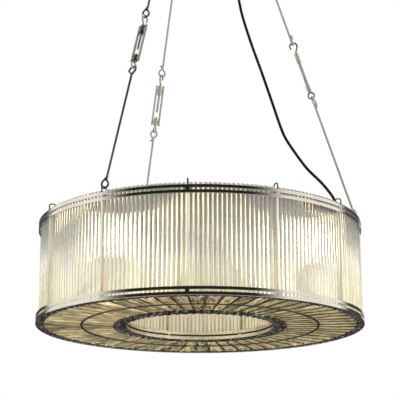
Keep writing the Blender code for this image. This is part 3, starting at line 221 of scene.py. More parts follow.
# Strands, measured along each strand from its foot on the rim
FRAME_MIDDLE = 0.40835
ANCHOR_RADIUS = 0.3870
ROD_WIRE = 0.0040
WIRE_SHOWN = 0.0046
SHAFT_SHARE = 1.2
EYE_RADIUS = 0.0090
EYE_NECK = 0.0050
EYE_TAIL = 0.0080
EYE_STEPS = 26
EYE_LIFT_SHARE = 1.06
EYE_LEVEL_SHARE = 0.82
TAIL_LIFT_SHARE = 1.12
LOWER_ROD_LENGTH = 0.3429
TURNBUCKLE_LENGTH = 0.1100
TURNBUCKLE_WIDTH = 0.0240
SIDE_BAR_WIDTH = 0.0042
SIDE_BAR_DEPTH = 0.0050
BAR_CORNER = 0.0008
WEB_SHARE = 0.35
BOSS_RADIUS = 0.0056
TOP_BOSS = 0.0286
BOTTOM_BOSS = 0.0198
BOSS_CORNER = 0.0008
BOSS_FOOT_GAP = 0.0012
BOSS_HEAD_GAP = 0.0004
BORE_CLEARANCE = 0.0002
BOSS_STEPS = 32
EYEBOLT_RADIUS = 0.0079
EYEBOLT_WIRE = 0.0045
EYEBOLT_NECK = 0.0032
EYEBOLT_ROOT = 0.0015
EYEBOLT_START = math.pi / 2 - 0.72
EYEBOLT_SWEEP = math.tau - 0.95
HOOK_RADIUS = 0.0096
HOOK_WIRE = 0.0047
HOOK_HEIGHT = 0.0320
HOOK_ROOT = 0.0010
HOOK_NECK_SHARE = 1.1
HOOK_TIP_SHARE = 0.6
HOOK_START = math.radians(-40)
HOOK_END = math.radians(220)
BOW_STEPS = 28
SHANK = 0.0060
SHANK_LAP = 0.0005
UPPER_SHANK = 0.0737
LOWER_SHANK = 0.0235
THREAD_PITCH = 0.0010
THREAD_DEPTH = 0.0004
THREAD_STEPS = 20

# Finishes of the three strands, left, right and middle; the left one's are darker, as painted shade on
# strands of the same metal
STRAND_FINISHES = ("tarnished steel", "zinc plate", "zinc plate")
BAR_FINISHES = ("bright steel", "zinc plate", "zinc plate")
BOSS_FINISHES = ("tarnished steel", "boss brass", "boss brass")

# Ceiling fitting
CEILING_PLATE_RADIUS = 0.0550
CEILING_PLATE_THICKNESS = 0.0040
CEILING_PLATE_CORNER = 0.0004
CEILING_PLATE_STEPS = 72
HOOK_BOSS_RADIUS = 0.0120
HOOK_BOSS_DEPTH = 0.0180
HOOK_BOSS_CORNER = 0.0008
HOOK_BORE = 0.0034
HOOK_BORE_TOP = 0.0060
CUP_RADIUS = 0.0650
CUP_DEPTH = 0.0500
CUP_MOUTH = 0.0400
CUP_SHOULDER = 0.0220
CUP_WALL = 0.0015
CUP_LIP = 0.0006
CUP_BEND_STEPS = 16
CUP_STEPS = 96
CEILING_HOOK_BEND = 0.0110
CEILING_HOOK_WIRE = 0.0060
CEILING_HOOK_TOP = 0.0070
CEILING_HOOK_START = math.radians(24)
CEILING_HOOK_END = math.radians(-200)
CEILING_HOOK_STEPS = 26
CEILING_HOOK_NECK = 0.0020
NECK_TURNS = (0.2, 0.5, 0.8)
NECK_DROP = 0.0120
NECK_SHARE = 0.55
RING_WIRE = 0.0050
RING_RADIUS = 0.0140
RING_WIRE_STEPS = 16
RING_STEPS = 64

# Foot and wing of each tab that holds the cup: size and middle
CUP_TAB = (
    ((0.0100, 0.0140, 0.0015), (0.0570, 0, -0.0023)),
    ((0.0015, 0.0140, 0.0190), (0.0605, 0, -0.0122)),
)
CUP_TAB_CORNER = 0.0003

# Hanger
HANGER_RADIUS = 0.0370
HANGER_THICKNESS = 0.0040
HANGER_BORE = 0.0033
HANGER_CORNER = 0.0008
HANGER_STEPS = 96
HANGER_HOLE_CIRCLE = 0.0239
HANGER_HOLE_RADIUS = 0.0036
HANGER_HOLE_SIDES = 32
HANGER_EYE_RADIUS = 0.0085
HANGER_EYE_WIRE = 0.0050
HANGER_EYE_NECK = 0.0050
HANGER_EYE_ROOT = 0.0015
HANGER_EYE_FOOT = 0.0010
HANGER_EYE_OPENING = math.radians(40)
HANGER_EYE_STEPS = 40
HANGER_HEAD_RADIUS = 0.0070
HANGER_HEAD_HEIGHT = 0.0060
HANGER_HEAD_CORNER = 0.0004

# Supply cable: distance from the axis and height over the rim, from the canopy down to the gland
CABLE_DIAMETER = 0.0070
CABLE_STRAIGHT = 0.0060
CABLE_BEND = (0.0060, math.radians(7))
CABLE_ROUTE = (
    (0.0320, 1.2290), (0.0230, 1.2170), (0.0205, 1.2000), (0.0270, 1.1750), (0.0400, 1.1400),
    (0.0500, 1.0800), (0.0600, 0.9800), (0.0720, 0.8600), (0.0860, 0.7400), (0.1150, 0.5870),
    (0.1260, 0.5370), (0.1480, 0.4650), (0.1770, 0.3810), (0.2040, 0.3000), (0.2280, 0.2270),
    (0.2440, 0.1900), (0.2790, 0.1350), (0.3020, 0.1040), (0.3350, 0.0680), (0.3610, 0.0330),
    (0.3710, 0.0100), (0.3715, -0.0055), (0.3670, -0.0170), (0.3585, -0.0240),
)

# Wiring from lamp to lamp, which dips to each lampholder
LOOM_DIAMETER = 0.0050
LOOM_GAP = 0.0020
LOOM_DIP = 0.0250
LOOM_CLIPS = 4
LOOM_CLIP_STEP = math.radians(11)
LOOM_BEND = (0.0080, math.radians(10))

# Parts of the finishes that no setting changes
ZINC = (0.42, 0.42, 0.41)
BOSS_BRASS = (0.60, 0.55, 0.40)
WARM_PAINT = (0.66, 0.58, 0.42)
LAMP_GLASS = (1.0, 0.94, 0.82)
FLOOR = (0.86, 0.86, 0.85)
WHITE = (1, 1, 1, 1)
GLASS_IOR = 1.50
# Height from the drum's foot over which the rods' painted glow and painted shade change
ROD_PAINTED_LIGHT_HEIGHT = 0.25
FLOOR_WHITE_SHARE = 0.75

# Camera, fitted to the two rims and the strands, and the stage round the light
CAMERA_LENS = 124.7
SENSOR_WIDTH = 36.0
CAMERA_CLIP = (0.05, 60)
CAMERA_DISTANCE = 3.3437
CAMERA_BELOW = 0.5965
CAMERA_TILT = math.radians(15.36)
FLOOR_BELOW = 1.30
FLOOR_RADIUS = 9
FLOOR_SIDES = 96
LIGHT_TARGET_HEIGHT = 0.12

# What reflections show: the room's shades from behind the light to its front, and the backdrop
ROOM_FRONT = (-0.11, -1, 0.1)
ROOM_SHADES = ((0.20, 0.08), (0.28, 1.1), (0.69, 1.1), (0.80, 0.25), (0.86, 0.02))
BACKDROP_FOOT = (-0.02, 0.08)
BACKDROP_SIDES = (-0.86, -0.95)
ROOM_LIGHT = 0.60

# Soft boxes: place, width and height, and power
SOFT_BOXES = {
    "left soft box": ((-2.6, -1.6, -0.4), (1.6, 2.2), 34),
    "right soft box": ((2.6, -1.2, -0.6), (1.4, 2.2), 42),
    "top soft box": ((0.2, 0.6, 1.6), (2.4, 2.4), 45),
}


def length_setting(name, description, default):
    return FloatProperty(name=name, description=description, default=default, unit="LENGTH")


def colour_setting(name, description, default):
    return FloatVectorProperty(name=name, description=description, default=default, subtype="COLOR")


class PendantSizes(bpy.types.PropertyGroup):
    """Sizes that change the look without changing what the light fits"""

    drum_radius: length_setting("Drum radius", "Radius of the outer bottom band", 0.4000)
    drum_height: length_setting(
        "Drum height", "From the foot of the bottom band to the top edge of the top band", 0.2500
    )
    hole_radius: length_setting(
        "Hole radius", "Radius of the open middle at the inner bottom band", 0.1800
    )
    edge_rounding: length_setting(
        "Edge rounding", "Rounding on the edges of the metal bands", 0.0005
    )
    rod_sides: IntProperty(
        name="Rod sides", description="Sides of each glass rod's mesh", default=12, min=8, max=24
    )
    rod_gap: length_setting("Gap between rods", "Space between neighbouring glass rods", 0.00015)


class PendantColours(bpy.types.PropertyGroup):
    """Colours of the finishes"""

    nickel: colour_setting("Nickel", "Colour of the polished nickel", (0.74, 0.70, 0.62))
    steel: colour_setting("Steel", "Colour of the strands' bright wire", (0.36, 0.345, 0.32))
    rod_glass: colour_setting("Rod glass", "Tint of the clear glass rods", (0.995, 0.99, 0.955))
    inner_rod_glass: colour_setting(
        "Inner rod glass", "Tint of the rods round the open middle", (0.72, 0.65, 0.52)
    )
    plate_glass: colour_setting(
        "Plate glass", "Tint of the champagne glass plates", (0.86, 0.70, 0.35)
    )
    lamp_glow: colour_setting("Lamp glow", "Colour of the lit lamps", (1.0, 0.80, 0.48))
    lamp_strength: FloatProperty(
        name="Lamp strength", description="Brightness of the lit lamps", default=6.5
    )
    cable: colour_setting(
        "Cable", "Colour of the supply cable and the wiring", (0.004, 0.004, 0.004)
    )
    plastic: colour_setting(
        "Plastic", "Colour of the lampholders, the box and the gland", (0.010, 0.010, 0.010)
    )
    paint: colour_setting("Frame paint", "Colour of the painted lamp frame", (0.86, 0.82, 0.68))


# Meshes and pieces


def spaced(count, start=0.0):
    """Evenly spaced bearings round the drum's axis, in its own frame."""
    return [start + math.tau * k / count for k in range(count)]


def around(distance, bearing, height=0.0):
    """A point at its distance from the axis, its bearing and its height."""
    return Vector((distance * math.cos(bearing), distance * math.sin(bearing), height))


def arc(radius, start, end, steps, middle=(0, 0)):
    """Points of an arc, as (across, up) pairs."""
    angles = [start + (end - start) * i / steps for i in range(steps + 1)]
    return [(middle[0] + radius * math.cos(a), middle[1] + radius * math.sin(a)) for a in angles]


def axes_matrix(x, y, z, origin):
    return Matrix.Translation(origin) @ Matrix((x, y, z)).transposed().to_4x4()


def link_object(name, data):
    obj = bpy.data.objects.new(name, data)
    bpy.context.scene.collection.objects.link(obj)
    return obj


def add_piece(name, data, finish, replaced=(), body="pendant"):
    """An object with its finish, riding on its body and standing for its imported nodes."""
    piece = link_object(name, data)
    data.materials.clear()
    data.materials.append(finish_named(finish))
    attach(piece, body)
    if replaced:
        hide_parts(*replaced)
    return piece


def finish_mesh(name, model, sharp=SHARP_EDGE):
    """A mesh from the bmesh, smooth but for edges sharper than the angle."""
    bmesh.ops.remove_doubles(model, verts=model.verts, dist=MERGE_DISTANCE)
    bmesh.ops.recalc_face_normals(model, faces=model.faces)
    mesh = bpy.data.meshes.new(name)
    model.to_mesh(mesh)
    model.free()
    mesh.shade_smooth()
    mesh.set_sharp_from_angle(angle=sharp)
    return mesh


def evaluated_mesh(obj):
    """The object's mesh as its modifiers leave it. The object itself is removed."""
    bpy.context.view_layer.update()
    graph = bpy.context.evaluated_depsgraph_get()
    mesh = bpy.data.meshes.new_from_object(obj.evaluated_get(graph))
    bpy.data.objects.remove(obj, do_unlink=True)
    return mesh


def join_meshes(name, meshes):
    """One mesh that holds several closed ones."""
    model = bmesh.new()
    for mesh in meshes:
        model.from_mesh(mesh)
        bpy.data.meshes.remove(mesh)
    return finish_mesh(name, model)


def spin_profile(model, points, steps, matrix=IDENTITY, closed=True):
    """A profile of (radius, height) points turned about the matrix's Z axis."""
    known = set(model.verts)
    verts = [model.verts.new((radius, 0, height)) for radius, height in points]
    ends = verts[1:] + verts[:1] if closed else verts[1:]
    edges = [model.edges.new(pair) for pair in zip(verts, ends)]
    bmesh.ops.spin(
        model,
        geom=verts + edges,
        cent=(0, 0, 0),
        axis=UP,
        angle=math.tau,
        steps=steps,
        use_merge=True,
    )
    fresh = [vert for vert in model.verts if vert not in known]
    bmesh.ops.remove_doubles(model, verts=fresh, dist=MERGE_DISTANCE)
    fresh = [vert for vert in model.verts if vert not in known]
    bmesh.ops.transform(model, matrix=matrix, verts=fresh)


def turned_mesh(name, points, steps, matrix=IDENTITY, closed=True, sharp=SHARP_EDGE):
    """A mesh of its own from one turned profile."""
    model = bmesh.new()
    spin_profile(model, points, steps, matrix, closed)
    return finish_mesh(name, model, sharp)


def add_box(model, size, middle, bearing=0.0, matrix=IDENTITY):
    place = matrix @ Matrix.Rotation(bearing, 4, "Z") @ Matrix.Translation(middle)
    bmesh.ops.create_cube(model, size=1, matrix=place @ Matrix.Diagonal((*size, 1)))


def add_bar(model, sides, radius, length, matrix):
    """A straight bar with flat ends along the matrix's Z axis, about its origin."""
    bmesh.ops.create_cone(
        model,
        cap_ends=True,
        segments=sides,
        radius1=radius,
        radius2=radius,
        depth=length,
        matrix=matrix,
    )


def bevel_edges(model, edges, width, segments):
    bmesh.ops.bevel(
        model,
        geom=edges,
        offset=width,
        offset_type="OFFSET",
        segments=segments,
        profile=0.5,
        affect="EDGES",
        material=-1,
    )


def bevel_all(model, width, segments=2):
    """Rounds the edges of the whole bmesh that are sharper than the bevel angle."""
    paired = [edge for edge in model.edges if len(edge.link_faces) == 2]
    sharp = [edge for edge in paired if edge.calc_face_angle(0) > BEVEL_ANGLE]
    bevel_edges(model, sharp, width, segments)


def add_bevel(piece, width):
    """A live bevel on the piece's sharp edges."""
    modifier = piece.modifiers.new("rounded edges", "BEVEL")
    modifier.width = width
    modifier.segments = 2
    modifier.limit_method = "ANGLE"
    modifier.angle_limit = BEVEL_ANGLE
    modifier.harden_normals = False


def rounded_rectangle(inside, outside, bottom, top, corner, steps=3):
    """A closed profile with rounded corners, as (radius, height) points."""
    middles = (
        (outside - corner, top - corner),
        (inside + corner, top - corner),
        (inside + corner, bottom + corner),
        (outside - corner, bottom + corner),
    )
    outline = []
    for k, middle in enumerate(middles):
        outline += arc(corner, math.pi / 2 * k, math.pi / 2 * (k + 1), steps, middle)
    return outline


def wire_curve(name, paths, diameter, sides):
    """Round wires along open paths, closed at their ends.

    A path's point may end in a share of the diameter.
    """
    curve = bpy.data.curves.new(name, "CURVE")
    curve.dimensions = "3D"
    curve.bevel_depth = diameter / 2
    curve.bevel_resolution = sides
    curve.use_fill_caps = True
    for path in paths:
        spline = curve.splines.new("POLY")
        spline.points.add(len(path) - 1)
        for point, place in zip(spline.points, path):
            point.co = (*place[:3], 1)
            point.radius = place[3] if len(place) > 3 else 1
    return curve


def wire_mesh(name, paths, diameter, sides=WIRE_SIDES, matrix=IDENTITY):
    """A closed mesh of the wires, with its caps joined to its sides."""
    curve = wire_curve(name, paths, diameter, sides)
    mesh = evaluated_mesh(link_object(name, curve))
    bpy.data.curves.remove(curve)
    model = bmesh.new()
    model.from_mesh(mesh)
    bpy.data.meshes.remove(mesh)
    bmesh.ops.transform(model, matrix=matrix, verts=model.verts)
    return finish_mesh(name, model)


def smooth_points(route, end, longest, sharpest):
    """Points along the smooth curve through the route's own points, then straight to its end."""
    ends = [2 * route[0] - route[1], *route, end]
    fine = []
    for before, start, stop, after in zip(ends, ends[1:], ends[2:], ends[3:]):
        for i in range(CURVE_SAMPLES):
            t = i / CURVE_SAMPLES
            heading = (stop - before) * t
            bend = (2 * before - 5 * start + 4 * stop - after) * t**2
            twist = (3 * start - before - 3 * stop + after) * t**3
            fine.append(0.5 * (2 * start + heading + bend + twist))
    fine.append(route[-1])
    path = [fine[0]]
    heading = fine[1] - fine[0]
    travelled = 0.0
    for a, b, c in zip(fine, fine[1:], fine[2:]):
        travelled += (b - a).length
        if travelled >= longest or heading.angle(c - b) >= sharpest:
            path.append(b)
            heading = c - b
            travelled = 0.0
    return path + [route[-1], end]


# Nodes of the finishes


def feed(tree, sockets, values):
    """Gives each named socket its value, or a link from another node's socket."""
    for name, value in values.items():
        if isinstance(value, bpy.types.NodeSocket):
            tree.links.new(value, sockets[name])
        else:
            sockets[name].default_value = value


def add_node(tree, kind, inputs, **settings):
    """A shader node with its settings, and its inputs set or linked."""
    node = tree.nodes.new(f"ShaderNode{kind}")
    for name, value in settings.items():
        setattr(node, name, value)
    feed(tree, node.inputs, inputs)
    return node


def object_place(tree):
    return add_node(tree, "TexCoord", {}).outputs["Object"]


def noise(tree, scale, detail=3.0, stretch=(1, 1, 1), place=None, distortion=0.0):
    """Noise on the piece's own coordinates or at the place, finer along each axis by the stretch."""
    mapping = add_node(tree, "Mapping", {"Vector": place or object_place(tree), "Scale": stretch})
    inputs = {"Vector": mapping.outputs["Vector"], "Scale": scale, "Detail": detail}
    inputs["Distortion"] = distortion
    return add_node(tree, "TexNoise", inputs).outputs["Fac"]


def ranged(tree, value, low, high, start=0.3, stop=0.7):
    """The value between start and stop, spread from low to high."""
    inputs = {"Value": value, "From Min": start, "From Max": stop, "To Min": low, "To Max": high}
    return add_node(tree, "MapRange", inputs).outputs["Result"]


def ramp(tree, value, stops, interpolation="LINEAR"):
    """The colour at the value on a ramp of (position, colour) stops."""
    node = add_node(tree, "ValToRGB", {"Fac": value})
    node.color_ramp.interpolation = interpolation
    elements = node.color_ramp.elements
    for element, (position, colour) in zip(elements, (stops[0], stops[-1])):
        element.position = position
        element.color = (*colour, 1)
    for position, colour in stops[1:-1]:
        elements.new(position).color = (*colour, 1)
    return node.outputs["Color"]


def multiplied(tree, first, second):
    """One colour times the other."""
    inputs = {"Factor": 1.0, "A": first, "B": second}
    node = add_node(tree, "Mix", inputs, data_type="RGBA", blend_type="MULTIPLY")
    return node.outputs["Result"]


def mixed_shaders(tree, share, first, second):
    inputs = {"Fac": share, 1: first, 2: second}
    return add_node(tree, "MixShader", inputs).outputs["Shader"]


def new_finish(name, colour, roughness, metallic=0.0):
    """A new material's node tree and its Principled shader, ready for detail."""
    material = bpy.data.materials.new(name)
    material.use_nodes = True
    tree = material.node_tree
    shader = tree.nodes["Principled BSDF"]
    values = {"Base Color": (*colour, 1), "Roughness": roughness, "Metallic": metallic}
    feed(tree, shader.inputs, values)
    return tree, shader


def vary_colour(tree, shader, value, first, second):
    blend = ramp(tree, value, ((0.35, first), (0.65, second)))
    feed(tree, shader.inputs, {"Base Color": blend})


def vary_roughness(tree, shader, value, low, high):
    feed(tree, shader.inputs, {"Roughness": ranged(tree, value, low, high)})


def bump_with(tree, shader, value, distance, strength):
    bump = add_node(tree, "Bump", {"Height": value, "Distance": distance, "Strength": strength})
    feed(tree, shader.inputs, {"Normal": bump.outputs["Normal"]})


def darker(colour, share):
    return tuple(channel * share for channel in colour)


# Finishes


def make_nickel(name, colour):
    tree, shader = new_finish(name, colour, 0.10, metallic=1.0)
    vary_colour(tree, shader, noise(tree, 14, detail=4), darker(colour, 0.90), colour)
    vary_roughness(tree, shader, noise(tree, 60, detail=5), 0.05, 0.16)
    bump_with(tree, shader, noise(tree, 35, detail=2), 0.0002, 0.25)


def make_nickel_with_painted_glints(name, colour):
    """Nickel with rows of small cut facets painted on its colour, a few bright as painted glints and
    most dark as painted dark reflections.
    """
    tree, shader = new_finish(name, colour, 0.16, metallic=0.75)
    facets = add_node(tree, "TexVoronoi", {"Vector": object_place(tree), "Scale": 190.0})
    parts = add_node(tree, "SeparateColor", {"Color": facets.outputs["Color"]}).outputs
    # Brightness of the painted facets: most dark as painted reflections, a few brighter than the nickel
    # as painted glints
    shares = ((0.0, 0.06), (0.42, 0.22), (0.70, 0.48), (0.86, 1.1))
    stops = [(position, darker(colour, share)) for position, share in shares]
    feed(tree, shader.inputs, {"Base Color": ramp(tree, parts["Red"], stops, "CONSTANT")})
    vary_roughness(tree, shader, parts["Green"], 0.10, 0.34)
    bump_with(tree, shader, parts["Blue"], 0.0006, 0.6)


def make_steel(name, colour, metallic=1.0):
    """Metal with fine marks from drawing along its length."""
    tree, shader = new_finish(name, colour, 0.22, metallic)
    draw_marks = noise(tree, 220, stretch=(6, 6, 0.4))
    vary_colour(tree, shader, draw_marks, darker(colour, 0.82), colour)
    vary_roughness(tree, shader, draw_marks, 0.24, 0.38)
    bump_with(tree, shader, draw_marks, 0.00004, 0.5)


def make_rod_glass(name, colour, head, painted_glow_strength):
    """Clear glass, darkened towards its head by painted shade, with a painted glow that is warm and
    strongest at its foot, though the rods are no lamps.
    """
    tree, shader = new_finish(name, colour, 0.03)
    parts = add_node(tree, "SeparateXYZ", {"Vector": object_place(tree)})
    height = ranged(tree, parts.outputs["Z"], 0, 1, DRUM_BOTTOM, DRUM_BOTTOM + ROD_PAINTED_LIGHT_HEIGHT)
    # Painted glow given off by the rods, warm at the foot and fading almost to nothing at the head
    painted_glow_stops = (
        (0.0, (0.90, 0.78, 0.40)),
        (0.33, (0.74, 0.68, 0.42)),
        (0.54, (0.40, 0.395, 0.34)),
        (0.78, (0.20, 0.198, 0.175)),
        (1.0, (0.03, 0.03, 0.025)),
    )
    # Painted shade: the glass darkens towards its head, down to the head share of its tint
    painted_shade_stops = (
        (0.45, colour),
        (0.62, darker(colour, (1 + head) / 2 + 0.04)),
        (0.86, darker(colour, head)),
    )
    # Vertical streaks in the painted glow
    streaks = noise(tree, 110, stretch=(1, 1, 0.01))
    streaked = ranged(tree, streaks, 0.45, 1.45, 0.40, 0.60)
    glow = multiplied(tree, ramp(tree, height, painted_glow_stops), streaked)
    values = {
        "Base Color": ramp(tree, height, painted_shade_stops),
        "Transmission Weight": 0.90,
        "IOR": GLASS_IOR,
        "Emission Color": glow,
        "Emission Strength": painted_glow_strength,
    }
    feed(tree, shader.inputs, values)
    pulled = noise(tree, 40, detail=2, stretch=(1, 1, 0.03))
    vary_roughness(tree, shader, pulled, 0.05, 0.12)
    bump_with(tree, shader, pulled, 0.0003, 0.22)


def make_plate_glass(name, colour):
    """Glass with drawn streaks along each plate, and dark seams down its long edges. The pale ends of
    the streaks are partly painted highlights of the lamps, and the glass gives off a painted glow in
    its own colour.
    """
    tree, shader = new_finish(name, colour, 0.05)
    chart = add_node(tree, "UVMap", {}, uv_map=PLATE_CHART).outputs["UV"]
    streaks = noise(tree, 1.0, detail=4.0, stretch=(5, 1.8, 1), place=chart, distortion=0.8)
    # Dark to pale streaks drawn in the glass; their pale end is partly a painted highlight of the lamps
    streak_and_highlight_stops = ((0.38, darker(colour, 0.15)), (0.50, colour), (0.62, (1.0, 0.92, 0.64)))
    parts = add_node(tree, "SeparateXYZ", {"Vector": chart})
    inputs = {0: parts.outputs["X"], 1: 0.5}
    across = add_node(tree, "Math", inputs, operation="PINGPONG").outputs["Value"]
    seam_stops = ((0.065, (0.020, 0.016, 0.010)), (0.095, (1.0, 0.97, 0.88)), (0.15, (1, 1, 1)))
    batch = noise(tree, 1.0, detail=2.0, stretch=(0, 0.4, 1), place=chart)
    seamed = multiplied(
        tree, ramp(tree, streaks, streak_and_highlight_stops), ramp(tree, across, seam_stops)
    )
    tint = multiplied(tree, seamed, ranged(tree, batch, 0.55, 1.0, 0.38, 0.58))
    values = {
        "Base Color": tint,
        "Transmission Weight": 0.80,
        "IOR": GLASS_IOR,
        "Specular IOR Level": 0.35,
        # Painted glow: the plates give off light in their own colour, though they are no lamps
        "Emission Color": tint,
        "Emission Strength": 0.165,
    }
    feed(tree, shader.inputs, values)
    vary_roughness(tree, shader, streaks, 0.04, 0.18)
    bump_with(tree, shader, streaks, 0.0012, 0.5)


def make_plastic(name, colour):
    tree, shader = new_finish(name, colour, 0.42)
    grain = noise(tree, 900, detail=2)
    vary_colour(tree, shader, noise(tree, 40), darker(colour, 0.8), darker(colour, 1.5))
    vary_roughness(tree, shader, grain, 0.35, 0.52)
    bump_with(tree, shader, grain, 0.00006, 0.5)


def make_lamp_glass(name, glow, strength):
    tree, shader = new_finish(name, LAMP_GLASS, 0.25)
    feed(tree, shader.inputs, {"Emission Color": (*glow, 1), "Emission Strength": strength})
    vary_roughness(tree, shader, noise(tree, 300), 0.20, 0.32)


def make_cable_sheath(name, colour):
    tree, shader = new_finish(name, colour, 0.6)
    feed(tree, shader.inputs, {"Specular IOR Level": 0.12})
    dust = noise(tree, 130, detail=4)
    vary_colour(tree, shader, dust, colour, darker(colour, 2.2))
    vary_roughness(tree, shader, dust, 0.50, 0.68)
    bump_with(tree, shader, noise(tree, 500), 0.00005, 0.4)


def make_paint(name, colour):
    tree, shader = new_finish(name, colour, 0.38)
    orange_peel = noise(tree, 380, detail=2)
    vary_colour(tree, shader, noise(tree, 18), darker(colour, 0.9), colour)
    vary_roughness(tree, shader, orange_peel, 0.32, 0.46)
    bump_with(tree, shader, orange_peel, 0.00008, 0.4)


def make_floor(name):
    """Pale on top, and clear from below so that the underside can be looked at."""
    tree, shader = new_finish(name, FLOOR, 0.9)
    camera_ray = add_node(tree, "LightPath", {}).outputs["Is Camera Ray"]
    inputs = {0: camera_ray, 1: FLOOR_WHITE_SHARE}
    share = add_node(tree, "Math", inputs, operation="MULTIPLY").outputs["Value"]
    white = add_node(tree, "Emission", {"Color": WHITE, "Strength": 1.0}).outputs["Emission"]
    clear = add_node(tree, "BsdfTransparent", {}).outputs["BSDF"]
    below = add_node(tree, "NewGeometry", {}).outputs["Backfacing"]
    seen = mixed_shaders(tree, share, shader.outputs["BSDF"], white)
    one_sided = mixed_shaders(tree, below, seen, clear)
    feed(tree, tree.nodes["Material Output"].inputs, {"Surface": one_sided})


def finish_named(name):
    """The shared material of one finish, made when it is first asked for."""
    colours = bpy.context.scene.pendant_colours
    makers = {
        "polished nickel": (make_nickel, colours.nickel),
        "diamond-cut nickel": (make_nickel_with_painted_glints, colours.nickel),
        "bright steel": (make_steel, colours.steel),
        # A darker copy of the strands' steel, painted shade where the left strand wears it
        "tarnished steel": (make_steel, darker(colours.steel, 0.35)),
        "zinc plate": (make_steel, ZINC, 0.15),
        "boss brass": (make_steel, BOSS_BRASS, 0.4),
        "frame paint": (make_paint, colours.paint),
        "warm paint": (make_paint, WARM_PAINT),
        # After each rod glass's tint: the share of it that its painted shade leaves at the head, and
        # the strength of its painted glow
        "clear rod glass": (make_rod_glass, colours.rod_glass, 0.80, 0.15),
        "warm rod glass": (make_rod_glass, colours.inner_rod_glass, 0.36, 0.085),
        "champagne plate glass": (make_plate_glass, colours.plate_glass),
        "black plastic": (make_plastic, colours.plastic),
        "lit lamp glass": (make_lamp_glass, colours.lamp_glow, colours.lamp_strength),
        "cable sheath": (make_cable_sheath, colours.cable),
        "pale floor": (make_floor,),
    }
    if name not in bpy.data.materials:
        make, *values = makers[name]
        make(name, *values)
    return bpy.data.materials[name]


# Bands


def slotted_wall(model, outside, bottom, modules):
    """A band's wall with one long slot in each module, and a bridge at each module joint."""
    steps = BAND_STEPS * OUTER_MODULES // modules
    count = steps * modules
    turn = Matrix.Rotation(math.pi / count, 4, "Z")
    slot_low = (BAND_HEIGHT - SLOT_HEIGHT) / 2
    slot_high = slot_low + SLOT_HEIGHT
    place = Matrix.Translation((0, 0, bottom)) @ turn
    ring = bmesh.ops.create_circle(model, segments=count, radius=outside, matrix=place)
    edges = list({edge for vert in ring["verts"] for edge in vert.link_edges})
    height = 0.0
    for row in (slot_low, slot_high, BAND_HEIGHT):
        made = bmesh.ops.extrude_edge_only(model, edges=edges)["geom"]
        verts = [item for item in made if isinstance(item, bmesh.types.BMVert)]
        edges = [item for item in made if isinstance(item, bmesh.types.BMEdge)]
        edges = [edge for edge in edges if edge.verts[0] in verts and edge.verts[1] in verts]
        bmesh.ops.translate(model, verts=verts, vec=(0, 0, row - height))
        height = row
    open_faces = []
    for face in model.faces:
        middle = face.calc_center_median()
        step = round(math.atan2(middle.y, middle.x) % math.tau / (math.tau / count)) % steps
        if slot_low < middle.z - bottom < slot_high and step >= SLOT_BRIDGE_STEPS:
            open_faces.append(face)
    bmesh.ops.delete(model, geom=open_faces, context="FACES")
    bmesh.ops.recalc_face_normals(model, faces=model.faces)
    if sum(face.normal.dot(face.calc_center_median()) for face in model.faces) < 0:
        bmesh.ops.reverse_faces(model, faces=model.faces)
    for item in bmesh.ops.extrude_face_region(model, geom=model.faces[:])["geom"]:
        if isinstance(item, bmesh.types.BMVert):
            item.co -= Vector((item.co.x, item.co.y, 0)).normalized() * BAND_THICKNESS


def diamond_cut_ledge(inside, outside, cuts):
    """A ledge with a flat top, and rows of cut diamonds round its underside."""
    count, low, high = cuts
    steps = 2 * count
    width = (outside - inside) / LEDGE_ROWS
    rows = [(outside - width * i, 0) for i in range(LEDGE_ROWS + 1)]
    model = bmesh.new()
    spin_profile(model, [(outside, LEDGE_THICKNESS), *rows, (inside, LEDGE_THICKNESS)], steps)
    for vert in model.verts:
        step = round(math.atan2(vert.co.y, vert.co.x) % math.tau / (math.tau / steps))
        row = round((outside - math.hypot(vert.co.x, vert.co.y)) / width)
        if vert.co.z < LEDGE_THICKNESS / 2:
            vert.co.z = high if (step + row) % 2 else low
    bmesh.ops.transform(model, matrix=DRUM, verts=model.verts)
    return finish_mesh("ledge", model, sharp=LEDGE_SHARP_EDGE)


def add_band(name, outside, bottom, modules, node, ledge=None):
    """A slotted band, with its diamond-cut ledge where it has one."""
    model = bmesh.new()
    slotted_wall(model, outside, bottom, modules)
    bmesh.ops.transform(model, matrix=DRUM, verts=model.verts)
    piece = add_piece(name, finish_mesh(name, model), "polished nickel", [node])
    add_bevel(piece, bpy.context.scene.pendant_sizes.edge_rounding)
    if ledge:
        add_piece(f"{name}_ledge", diamond_cut_ledge(*ledge), "diamond-cut nickel", [node])


